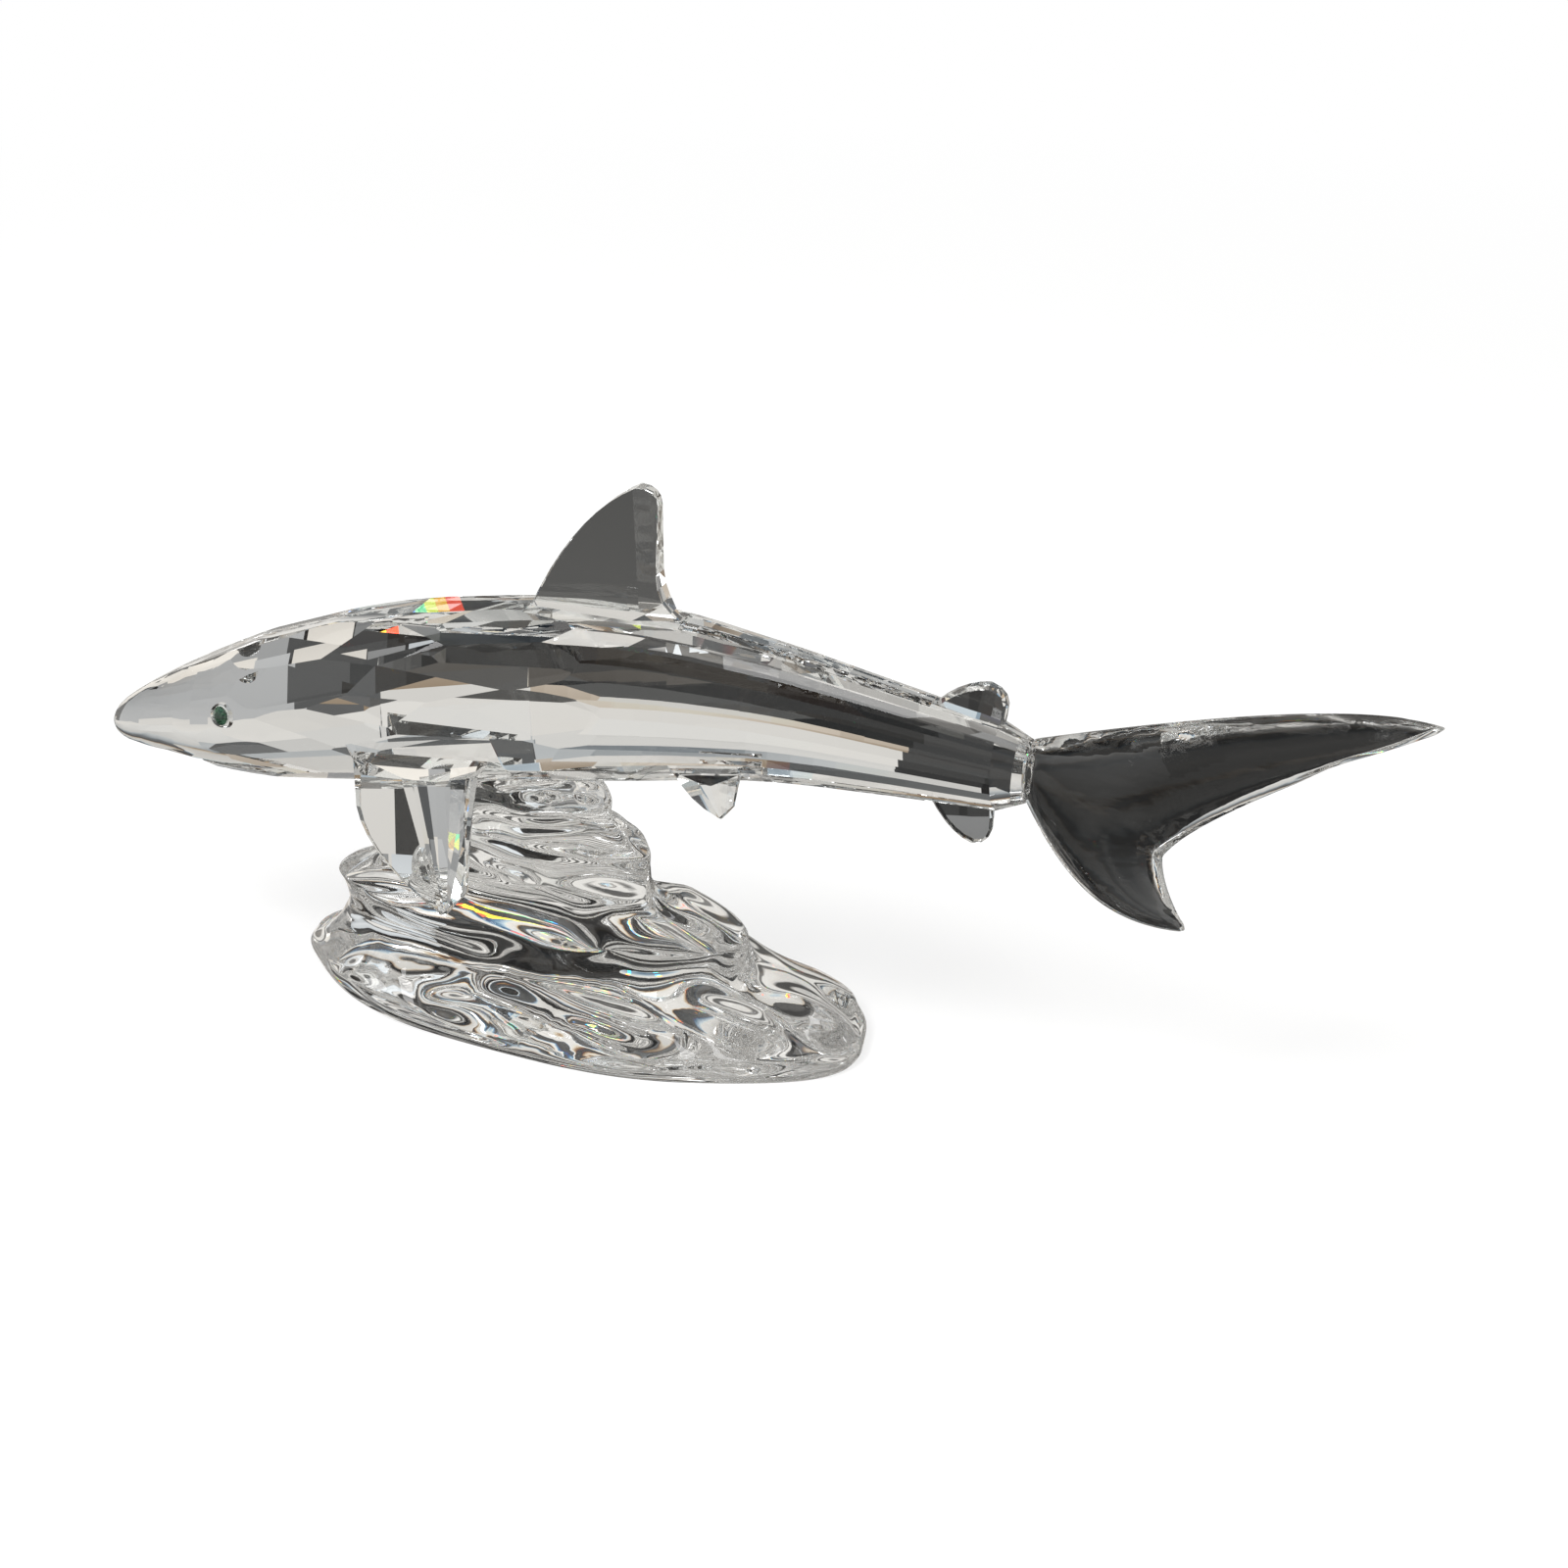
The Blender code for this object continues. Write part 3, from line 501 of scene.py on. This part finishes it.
@dataclass(frozen=True)
class MatFinish:
    """Striped mat under the base, whose bands the glass draws out into flowing lines.

    Attributes:
        name: the material's name.
        dark: brightness of its dark bands.
        pale: brightness of its pale ones.
        bands: how many bands there are in a metre.
        wander: how far the bands wander.
        level: how much of the mat is quite dark.
        contrast: how quickly dark gives way to pale.
        colour: their colour.
    """

    name: str = "mat"
    dark: float = 0.11
    pale: float = 0.88
    bands: float = 26.0
    wander: float = 2.5
    level: float = 0.22
    contrast: float = 3.0
    colour: tuple[float, float, float] = (1.0, 0.965, 0.92)

    def make(self) -> bpy.types.Material:
        """Makes the material.

        Returns:
            The material.
        """
        material = bpy.data.materials.new(self.name)
        material.use_nodes = True
        bench = Bench(material.node_tree)
        waves = bench.node(
            "ShaderNodeTexWave",
            {"wave_type": "BANDS", "bands_direction": "Y"},
            {
                "Vector": bench.place(Vector((0.0, 0.0, 0.0))),
                "Scale": self.bands,
                "Distortion": self.wander,
                "Detail": 1.0,
                "Detail Scale": 0.6,
            },
        )
        share = Number(bench, waves.outputs["Fac"])
        shown = bench.node(
            "ShaderNodeMix",
            {"data_type": "RGBA"},
            {
                0: ((share - self.level) * self.contrast).clamped(),
                6: (*(self.dark * part for part in self.colour), 1.0),
                7: (*(self.pale * part for part in self.colour), 1.0),
            },
        )
        bench.finish(bench.node("ShaderNodeEmission", None, {"Color": shown.outputs[2]}))
        material.cycles.emission_sampling = "NONE"
        return material


@dataclass(frozen=True)
class RoomFinish:
    """The room as the crystal shows it: a dark table, a pale wall, and lamps and shelves above.

    The three colours are read at slightly different heights, which gives every edge in the glass
    the warm and cold fringes of cut crystal.

    Attributes:
        name: the material's name.
        behind: stops of height in degrees and brightness, on the far side.
        before: the same on the camera's side.
        colour: colour of its light.
        turn: how quickly the far side gives way to the camera's side.
        fringe: how far apart the colours are read.
    """

    name: str = "room"
    behind: tuple[tuple[float, float], ...] = (
        (-90.0, 0.015),
        (-58.0, 0.020),
        (-50.0, 0.030),
        (-44.0, 0.085),
        (-37.0, 0.060),
        (-33.0, 0.035),
        (-30.5, 0.042),
        (-27.0, 0.096),
        (-21.5, 0.075),
        (-18.5, 0.66),
        (-8.0, 0.80),
        (4.0, 0.64),
        (9.0, 0.20),
        (15.0, 0.08),
        (18.0, 0.66),
        (27.0, 0.82),
        (30.0, 0.12),
        (40.0, 0.05),
        (43.0, 0.84),
        (52.0, 0.98),
        (55.0, 0.10),
        (66.0, 0.05),
        (70.0, 1.00),
        (90.0, 1.00),
    )
    before: tuple[tuple[float, float], ...] = (
        (-90.0, 0.020),
        (-50.0, 0.030),
        (-42.0, 0.080),
        (-32.0, 0.035),
        (-22.0, 0.055),
        (-18.0, 0.42),
        (-4.0, 0.50),
        (6.0, 0.36),
        (11.0, 0.08),
        (17.0, 0.06),
        (21.0, 0.46),
        (33.0, 0.52),
        (37.0, 0.09),
        (47.0, 0.06),
        (51.0, 0.70),
        (90.0, 0.95),
    )
    colour: tuple[float, float, float] = (1.0, 0.97, 0.925)
    turn: float = 3.0
    fringe: float = 0.006

    def make(self) -> bpy.types.Material:
        """Makes the material for a ball round the figurine.

        Returns:
            The material.
        """
        material = bpy.data.materials.new(self.name)
        material.use_nodes = True
        bench = Bench(material.node_tree)
        out = bench.node(
            "ShaderNodeVectorMath",
            {"operation": "NORMALIZE"},
            {0: bench.place(Vector((0.0, 0.0, 0.0)))},
        )
        axes = bench.node("ShaderNodeSeparateXYZ", None, {0: out})
        height = Number(bench, axes.outputs["Z"]) * 0.5 + 0.5
        far_side = (Number(bench, axes.outputs["Y"]) * self.turn + 0.5).clamped()
        levels = [self._level(bench, height + shift, far_side) for shift in self.shifts()]
        inputs = dict(zip(("Red", "Green", "Blue"), levels))
        shown = bench.node(
            "ShaderNodeMix",
            {"data_type": "RGBA", "blend_type": "MULTIPLY"},
            {0: 1.0, 6: bench.node("ShaderNodeCombineColor", None, inputs), 7: (*self.colour, 1.0)},
        )
        bench.finish(bench.node("ShaderNodeEmission", None, {"Color": shown.outputs[2]}))
        material.cycles.emission_sampling = "NONE"
        return material

    def shifts(self) -> tuple[float, float, float]:
        """How far up the red, the green and the blue are read."""
        return (self.fringe / 2, 0.0, -self.fringe / 2)

    def _level(self, bench: Bench, height: Number, far_side: Number) -> Number:
        """Brightness of one colour.

        Args:
            bench: the material's bench.
            height: 0 straight down and 1 straight up.
            far_side: 1 on the far side and 0 on the camera's.

        Returns:
            The brightness.
        """
        sides = []
        for heights in (self.behind, self.before):
            ramp = {"stops": self.stops(heights)}
            sides.append(bench.value("ShaderNodeValToRGB", ramp, {0: height}))
        return sides[0] * far_side + sides[1] * (1.0 - far_side)

    @staticmethod
    def stops(heights: tuple[tuple[float, float], ...]) -> list[tuple[float, float]]:
        """Places of the stops on a ramp that runs from straight down to straight up."""
        return [(0.5 + 0.5 * math.sin(math.radians(at)), level) for at, level in heights]


CUT_CRYSTAL = CrystalFinish("cut_crystal", "clear_crystal")
FIN_CRYSTAL = CrystalFinish("fin_crystal", "fin_crystal")
TAIL_GLASS = CrystalFinish(
    "tail_glass", "tail_crystal", ripple_scale=160.0, ripple_height=0.05 * MM
)
WAVE_GLASS = CrystalFinish(
    "wave_glass", "base_crystal", ripple_scale=90.0, ripple_height=0.05 * MM
)
EYE_STONE = EyeFinish("eye_stone", "eye_stone")


def solid_of(node: str) -> bmesh.types.BMesh:
    """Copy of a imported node's solid, with its loose triangles joined.

    Args:
        node: the node's name.

    Returns:
        The joined mesh.
    """
    bm = bmesh.new()
    bm.from_mesh(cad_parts[node].data)
    bmesh.ops.remove_doubles(bm, verts=bm.verts, dist=WELD)
    bmesh.ops.recalc_face_normals(bm, faces=bm.faces)
    return bm


def quads_of(node: str) -> bmesh.types.BMesh:
    """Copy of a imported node's solid, with its triangles paired into four-sided faces.

    Args:
        node: the node's name.

    Returns:
        The paired mesh.
    """
    bm = solid_of(node)
    bmesh.ops.join_triangles(
        bm,
        faces=bm.faces,
        angle_face_threshold=PAIR_ANGLE,
        angle_shape_threshold=PAIR_ANGLE,
    )
    return bm


def polish(bm: bmesh.types.BMesh, how: Polish, facet_area: float = 0.0) -> None:
    """Sets which faces of a mesh are shaded flat.

    Args:
        bm: the mesh.
        how: how the piece was finished.
        facet_area: area above which a face of a ground piece is a plane of its own.
    """
    for face in bm.faces:
        face.smooth = how is Polish.MOULDED or face.calc_area() < facet_area


def put(
    name: str, bm: bmesh.types.BMesh, finish: bpy.types.Material
) -> bpy.types.Object:
    """Puts a piece into the scene, riding on the part's one body.

    Args:
        name: the piece's name.
        bm: its mesh, which is freed.
        finish: its material.

    Returns:
        The piece.
    """
    mesh = bpy.data.meshes.new(name)
    bm.to_mesh(mesh)
    bm.free()
    mesh.materials.append(finish)
    piece = bpy.data.objects.new(name, mesh)
    bpy.context.scene.collection.objects.link(piece)
    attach(piece, "root")
    log.info("%s: %d faces", name, len(mesh.polygons))
    return piece


@dataclass
class GroundPiece:
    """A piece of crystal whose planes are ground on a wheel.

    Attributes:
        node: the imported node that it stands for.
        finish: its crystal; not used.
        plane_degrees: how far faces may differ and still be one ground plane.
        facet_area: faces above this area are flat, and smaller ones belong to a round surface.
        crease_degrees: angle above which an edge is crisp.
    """

    node: str
    finish: CrystalFinish
    plane_degrees: float = 0.6
    facet_area: float = 6.0 * MM * MM
    crease_degrees: float = 11.0

    def build(self, material: bpy.types.Material) -> bpy.types.Object:
        """Builds the piece and puts it in its node's place.

        Args:
            material: the crystal.

        Returns:
            The piece.
        """
        bm = solid_of(self.node)
        bmesh.ops.dissolve_limit(
            bm,
            angle_limit=math.radians(self.plane_degrees),
            use_dissolve_boundaries=False,
            verts=bm.verts,
            edges=bm.edges,
            delimit=set(),
        )
        polish(bm, Polish.GROUND, self.facet_area)
        for edge in bm.edges:
            edge.smooth = edge.calc_face_angle(0.0) < math.radians(self.crease_degrees)
        piece = put(self.node + "_cut", bm, material)
        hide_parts(self.node)
        return piece


@dataclass
class Shark:
    """The shark: its body, its fins and its eye stones.

    Attributes:
        fins: the nodes of its fins, apart from the tail.
        eyes: the nodes of its eye stones.
        fin_facet_area: area above which a face of a fin is flat.
    """

    fins: tuple[str, ...] = (
        "dorsal_fin",
        "second_dorsal_fin",
        "pectoral_fin_left",
        "pectoral_fin_right",
        "pelvic_fin_left",
        "pelvic_fin_right",
        "anal_fin",
    )
    eyes: tuple[str, ...] = ("eye_left", "eye_right")
    fin_facet_area: float = 0.6 * MM * MM

    def build(self) -> None:
        """Builds every ground piece and dresses the eyes."""
        GroundPiece("shark_body", CUT_CRYSTAL).build(CUT_CRYSTAL.make())
        fin_crystal = FIN_CRYSTAL.make()
        for fin in self.fins:
            GroundPiece(fin, FIN_CRYSTAL, facet_area=self.fin_facet_area).build(fin_crystal)
        for eye in self.eyes:
            self.dress_eye(eye)

    def dress_eye(self, node: str) -> None:
        """Gives one eye stone its finish, centred on it.

        Args:
            node: the eye's node.
        """
        low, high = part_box(node)
        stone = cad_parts[node]
        stone.data.materials.clear()
        stone.data.materials.append(EYE_STONE.make((low + high) / 2))
        log.info("%s: dressed", node)


@dataclass
class TailFin:
    """The moulded tail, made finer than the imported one.

    Attributes:
        node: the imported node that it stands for.
        levels: how often its faces are divided.
    """

    node: str = "tail_fin"
    levels: int = 2

    def build(self) -> None:
        """Builds the tail in its node's place."""
        bm = quads_of(self.node)
        polish(bm, Polish.MOULDED)
        piece = put(self.node + "_moulded", bm, TAIL_GLASS.make())
        refine(piece, self.levels)
        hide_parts(self.node)


@dataclass
class WaveBase:
    """The base: waves of clear glass with flowing ripples.

    Attributes:
        node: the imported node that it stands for.
        wave_length: length of the ripples across their run.
        stretch: how much longer the ripples run along the base.
        climb: how much faster they follow each other up the walls.
        wave_height: how far they rise and sink.
        ridge: how round the ripples' ridges are.
        gain: how broad the ripples are against the calm glass between them.
        swirl: how far they wander.
        swirl_scale: how tightly they wander.
        still: height over the table up to which there are none.
        calm: over what height above that they fade in.
        foot: height up to which a face belongs to the sole.
        start: where in the pattern the ripples start.
        seed: number that fixes how they wander.
    """

    node: str = "wave_base"
    wave_length: float = 13.0 * MM
    stretch: float = 3.2
    climb: float = 1.8
    wave_height: float = 2.5 * MM
    ridge: float = 0.06
    gain: float = 2.4
    swirl: float = 0.9
    swirl_scale: float = 0.45
    still: float = 0.3 * MM
    calm: float = 3.0 * MM
    foot: float = 0.05 * MM
    start: Vector = field(default_factory=lambda: Vector((3.1, 7.7, 1.9)))
    seed: int = 4

    def build(self) -> None:
        """Builds the base in its node's place, with its foot kept flat."""
        bm = quads_of(self.node)
        crease = bm.edges.layers.float.new("crease_edge")
        # The sole comes off, the waves are divided and rippled, and one flat face closes them.
        sole = [face for face in bm.faces if max(vert.co.z for vert in face.verts) < self.foot]
        bmesh.ops.delete(bm, geom=sole, context="FACES")
        bmesh.ops.subdivide_edges(bm, edges=bm.edges, cuts=1, use_grid_fill=True, smooth=0.5)
        rim = [edge for edge in bm.edges if edge.is_boundary]
        for edge in rim:
            for vert in edge.verts:
                vert.co.z = 0.0
        self.ripple(bm)
        bmesh.ops.holes_fill(bm, edges=rim, sides=0)
        for edge in rim:
            edge[crease] = 1.0
            edge.smooth = False
        polish(bm, Polish.MOULDED)
        piece = put(self.node + "_moulded", bm, WAVE_GLASS.make())
        refine(piece, 1)
        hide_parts(self.node)

    def ripple(self, bm: bmesh.types.BMesh) -> None:
        """Sinks flowing ripples into the waves.

        Args:
            bm: the base's mesh.
        """
        bm.normal_update()
        noise.seed_set(self.seed)
        moves = []
        for vert in bm.verts:
            flow = Vector((vert.co.x / self.stretch, vert.co.y, vert.co.z * self.climb))
            at = flow / self.wave_length + self.start
            bent = at + self.swirl * noise.noise_vector(at * self.swirl_scale)
            lobe = min(1.0, math.hypot(noise.noise(bent), self.ridge) * self.gain)
            fade = max(0.0, min(1.0, (vert.co.z - self.still) / self.calm))
            moves.append(vert.normal * (lobe - 1.0) * self.wave_height * fade)
        for vert, move in zip(bm.verts, moves):
            vert.co += move


def refine(piece: bpy.types.Object, levels: int) -> None:
    """Rounds a moulded piece by subdivision, alike on screen and in the render.

    Args:
        piece: the piece.
        levels: how often its faces are divided.
    """
    finer = piece.modifiers.new("finer", "SUBSURF")
    finer.levels = levels
    finer.render_levels = levels


def direction(azimuth: float, elevation: float) -> Vector:
    """Direction from the figurine towards a side and a height.

    Args:
        azimuth: the side in degrees, 0 on the shark's left.
        elevation: the height in degrees.

    Returns:
        A vector of length one.
    """
    side, rise = math.radians(azimuth), math.radians(elevation)
    level = math.cos(rise)
    return Vector((math.sin(side) * level, -math.cos(side) * level, math.sin(rise)))


def stage_piece(
    name: str, bm: bmesh.types.BMesh, finish: bpy.types.Material
) -> bpy.types.Object:
    """Puts one thing of the studio into the scene.

    Args:
        name: its name.
        bm: its mesh, which is freed.
        finish: its material.

    Returns:
        The thing.
    """
    mesh = bpy.data.meshes.new(name)
    bm.to_mesh(mesh)
    bm.free()
    mesh.materials.append(finish)
    thing = bpy.data.objects.new(name, mesh)
    bpy.context.scene.collection.objects.link(thing)
    return thing


def only_in_glass(thing: bpy.types.Object) -> None:
    """Lets nothing but mirrored and refracted rays see a thing of the studio.

    Args:
        thing: the thing.
    """
    thing.visible_camera = False
    thing.visible_diffuse = False
    thing.visible_shadow = False


@dataclass(frozen=True)
class Board:
    """A board behind or over the figurine, seen only in its glass.

    Attributes:
        name: the board's name.
        azimuth: side on which it stands, in degrees.
        elevation: how high it stands, in degrees.
        width: its width.
        height: its height.
        foot: how bright it is at its foot.
        top: how bright it is at its top.
        distance: how far off it stands.
        colour: its colour.
    """

    name: str
    azimuth: float
    elevation: float
    width: float
    height: float
    foot: float
    top: float
    distance: float = 0.9
    colour: tuple[float, float, float] = (1.0, 1.0, 1.0)

    def build(self, aim: Vector) -> None:
        """Builds the board, facing the figurine.

        Args:
            aim: what it faces.
        """
        out = direction(self.azimuth, self.elevation)
        raise_board(self, aim + out * self.distance, out)


@dataclass(frozen=True)
class NearBoard:
    """An upright board close behind the figurine, seen only in its glass.

    Attributes:
        name: the board's name.
        centre: the middle of the board.
        width: its width.
        height: its height.
        foot: how bright it is at its foot.
        top: how bright it is at its top.
        azimuth: side that it faces, in degrees.
        colour: its colour.
    """

    name: str
    centre: tuple[float, float, float]
    width: float
    height: float
    foot: float
    top: float
    azimuth: float = 20.0
    colour: tuple[float, float, float] = (1.0, 1.0, 1.0)

    def build(self, _aim: Vector) -> None:
        """Builds the board where it stands."""
        raise_board(self, Vector(self.centre), direction(self.azimuth, 0.0))


def raise_board(board: Board | NearBoard, centre: Vector, facing: Vector) -> None:
    """Makes the mesh of a board and puts it on the stage.

    Args:
        board: the board's name, size and tones.
        centre: its middle.
        facing: the direction square to it.
    """
    bm = bmesh.new()
    bmesh.ops.create_grid(bm, x_segments=1, y_segments=1, size=0.5)
    bmesh.ops.scale(bm, vec=(board.width, board.height, 1.0), verts=bm.verts)
    turn = facing.to_track_quat("Z", "Y").to_matrix().to_4x4()
    bmesh.ops.transform(bm, matrix=Matrix.Translation(centre) @ turn, verts=bm.verts)
    heights = [vert.co.z for vert in bm.verts]
    finish = BoardFinish(
        board.name + "_board", board.foot, board.top, min(heights), max(heights), board.colour
    )
    only_in_glass(stage_piece(board.name, bm, finish.make()))


@dataclass(frozen=True)
class SoftLamp:
    """A soft lamp that lights the figurine and isn't mirrored in its glass.

    Attributes:
        name: the lamp's name.
        azimuth: its side, in degrees.
        elevation: its height, in degrees.
        distance: how far off it hangs.
        size: the width of its soft box.
        watts: its power.
    """

    name: str
    azimuth: float
    elevation: float
    distance: float
    size: float
    watts: float

    def hang(self, aim: Vector) -> None:
        """Hangs the lamp.

        Args:
            aim: what it is turned to.
        """
        data = bpy.data.lights.new(self.name, "AREA")
        data.energy = self.watts
        data.size = self.size
        lamp = bpy.data.objects.new(self.name, data)
        bpy.context.scene.collection.objects.link(lamp)
        out = direction(self.azimuth, self.elevation)
        lamp.location = aim + out * self.distance
        lamp.rotation_mode = "QUATERNION"
        lamp.rotation_quaternion = out.to_track_quat("Z", "Y")
        lamp.visible_glossy = False
        lamp.visible_transmission = False


WARM = (1.0, 0.94, 0.86)
COLD = (0.93, 0.97, 1.0)
RAINBOW = (
    (1.0, 0.10, 0.05),
    (1.0, 0.55, 0.05),
    (0.85, 1.0, 0.10),
    (0.10, 0.90, 0.35),
    (0.05, 0.35, 1.0),
)
# The lamps light the floor and the stones. The glass shows the boards and the room instead.
LAMPS = (
    SoftLamp("key_light", -55.0, 50.0, 0.7, 0.35, 5.0),
    SoftLamp("fill_light", 60.0, 35.0, 0.8, 0.30, 2.2),
)
# The far boards are windows and lamps, which glint in the ground planes. Each near board stands
# behind the part that it is named after, and sets the tone of that part's glass in the photograph.
BOARDS = (
    Board("window_left", -70.0, 42.0, 0.16, 0.24, 5.0, 5.0),
    Board("window_top", 20.0, 72.0, 0.30, 0.10, 5.0, 5.0),
    Board("lamp_back", 200.0, 48.0, 0.06, 0.06, 12.0, 12.0),
    Board("lamp_right", 105.0, 30.0, 0.07, 0.07, 9.0, 9.0),
    Board("window_back", 235.0, 12.0, 0.10, 0.20, 3.0, 3.0),
    NearBoard("tail_flag", (0.104, 0.045, -0.004), 0.112, 0.096, 0.004, 0.020),
    NearBoard("lobe_board", (0.067, 0.030, 0.018), 0.018, 0.022, 0.10, 0.02),
    NearBoard("lobe_side", (0.079, 0.035, 0.018), 0.008, 0.022, 0.04, 0.01),
    NearBoard("stalk_flag", (0.052, 0.043, 0.022), 0.038, 0.040, 0.04, 0.04),
    NearBoard("anal_board", (0.051, 0.014, 0.026), 0.016, 0.011, 0.20, 0.24),
    NearBoard("flank_flag", (0.000, 0.048, 0.006), 0.078, 0.032, 0.012, 0.014),
    NearBoard("snout_board", (-0.0885, 0.040, -0.004), 0.060, 0.048, 0.36, 0.50),
    NearBoard("cheek_board", (-0.0560, 0.052, -0.004), 0.010, 0.048, 0.06, 0.11),
    NearBoard("fin_board_1", (-0.061, 0.024, -0.001), 0.009, 0.022, 1.10, 0.85, colour=WARM),
    NearBoard("fin_board_2", (-0.054, 0.026, -0.001), 0.006, 0.022, 0.42, 0.56),
    NearBoard("fin_board_3", (-0.047, 0.029, -0.001), 0.008, 0.022, 1.10, 0.75, colour=WARM),
    NearBoard("fin_board_4", (-0.040, 0.031, -0.001), 0.006, 0.022, 0.12, 0.28),
    NearBoard("fin_board_5", (-0.032, 0.034, -0.001), 0.010, 0.022, 1.10, 0.65, colour=COLD),
)
# Side and height in degrees of each far rainbow, and the place of the one behind the back.
PRISM_PLACES = ((214.0, 24.0), (160.0, 36.0), (-30.0, 55.0))
PRISM_STEP_DEGREES = 0.8
PRISM_SIZE = (0.035, 0.0125)
PRISM_GLOW = 4.0
BACK_PRISM_PLACE = Vector((-0.043, 0.040, 0.068))
BACK_PRISM_STEP = 0.002
BACK_PRISM_SIZE = (0.0022, 0.005)
BACK_PRISM_GLOW = 3.0


def prism_light() -> tuple[Board | NearBoard, ...]:
    """Narrow coloured boards side by side, for the sparks of colour in cut crystal.

    Returns:
        Three far rainbows, from red at the foot to blue, and a near one behind the back.
    """
    boards: list[Board | NearBoard] = []
    for azimuth, at in PRISM_PLACES:
        for i, colour in enumerate(RAINBOW):
            name, elevation = f"prism_{at}_{i}", at + PRISM_STEP_DEGREES * i
            glow = (PRISM_GLOW, PRISM_GLOW)
            boards.append(Board(name, azimuth, elevation, *PRISM_SIZE, *glow, colour=colour))
    for i, colour in enumerate(RAINBOW):
        name = f"back_prism_{i}"
        centre = BACK_PRISM_PLACE - Vector((BACK_PRISM_STEP * i, 0.0, 0.0))
        glow = (BACK_PRISM_GLOW, BACK_PRISM_GLOW)
        boards.append(NearBoard(name, tuple(centre), *BACK_PRISM_SIZE, *glow, colour=colour))
    return tuple(boards)


@dataclass
class Studio:
    """White floor, soft lamps, the room that the crystal shows, and the photograph's camera.

    Attributes:
        aim: the point that the camera looks at.
        azimuth: the camera's side, in degrees.
        elevation: the camera's height, in degrees.
        distance: the camera's distance.
        lens: its focal length in millimetres.
        floor_size: half the width of the floor.
        room_radius: radius of the ball that carries the room.
        mat: half length and half depth of the mat under the base.
        mat_place: where its middle lies, under the table.
        boards: the boards round the figurine.
        lamps: the lamps that light it.
        daylight: brightness of the white all round, which the camera sees at full.
        bounces: how often light is followed through the glass.
    """

    aim: Vector = field(default_factory=lambda: Vector((30.77, 0.0, 37.45)) * MM)
    azimuth: float = 20.0
    elevation: float = 25.0
    distance: float = 0.420
    lens: float = 70.0
    floor_size: float = 3.0
    room_radius: float = 1.6
    mat: tuple[float, float] = (58.0 * MM, 38.0 * MM)
    mat_place: Vector = field(default_factory=lambda: Vector((-4.0, 6.0, -12.0)) * MM)
    boards: tuple[Board | NearBoard, ...] = BOARDS + prism_light()
    lamps: tuple[SoftLamp, ...] = LAMPS
    daylight: float = 0.55
    bounces: int = 24

    def build(self) -> None:
        """Sets the whole studio up."""
        self.lay_floor()
        self.raise_room()
        self.light()
        for board in self.boards:
            board.build(self.aim)
        self.set_camera()

    def lay_floor(self) -> None:
        """Lays the white floor, which the glass doesn't show, and the mat, which only it does."""
        bm = bmesh.new()
        bmesh.ops.create_grid(bm, x_segments=1, y_segments=1, size=self.floor_size)
        floor = stage_piece("floor", bm, FloorFinish().make())
        floor.visible_glossy = False
        floor.visible_transmission = False
        bm = bmesh.new()
        bmesh.ops.create_circle(bm, cap_ends=True, segments=64, radius=1.0)
        bmesh.ops.scale(bm, vec=(*self.mat, 1.0), verts=bm.verts)
        bmesh.ops.translate(bm, vec=self.mat_place, verts=bm.verts)
        only_in_glass(stage_piece("mat", bm, MatFinish().make()))

    def raise_room(self) -> None:
        """Puts the ball with the room's tones round the figurine."""
        bm = bmesh.new()
        bmesh.ops.create_uvsphere(bm, u_segments=64, v_segments=32, radius=self.room_radius)
        room = stage_piece("room", bm, RoomFinish().make())
        room.location = self.aim
        only_in_glass(room)

    def light(self) -> None:
        """Gives the world its white and hangs the soft lamps."""
        scene = bpy.context.scene
        world = bpy.data.worlds.new("studio")
        scene.world = world
        world.use_nodes = True
        bench = Bench(world.node_tree)
        seen = bench.value("ShaderNodeLightPath", None, None, "Is Camera Ray")
        strength = seen * (1.0 - self.daylight) + self.daylight
        background = bench.node(
            "ShaderNodeBackground", None, {"Color": (1.0, 1.0, 1.0, 1.0), "Strength": strength}
        )
        bench.finish(background, "ShaderNodeOutputWorld")
        for lamp in self.lamps:
            lamp.hang(self.aim)
        scene.view_settings.view_transform = "Standard"
        scene.cycles.max_bounces = self.bounces
        scene.cycles.transmission_bounces = self.bounces
        scene.cycles.glossy_bounces = self.bounces

    def set_camera(self) -> None:
        """Sets the camera at the photograph's viewing angle."""
        data = bpy.data.cameras.new("camera")
        data.lens = self.lens
        data.sensor_width = 36.0
        data.clip_start = 0.01
        data.clip_end = 20.0
        camera = bpy.data.objects.new("camera", data)
        bpy.context.scene.collection.objects.link(camera)
        back = direction(self.azimuth, self.elevation)
        camera.location = self.aim + back * self.distance
        camera.rotation_mode = "QUATERNION"
        camera.rotation_quaternion = (-back).to_track_quat("-Z", "Y")
        bpy.context.scene.camera = camera


def main() -> None:
    """Builds the figurine and its studio."""
    logging.basicConfig(level=logging.INFO, format="%(message)s")
    Shark().build()
    TailFin().build()
    WaveBase().build()
    Studio().build()


if __name__ == "__main__":
    main()
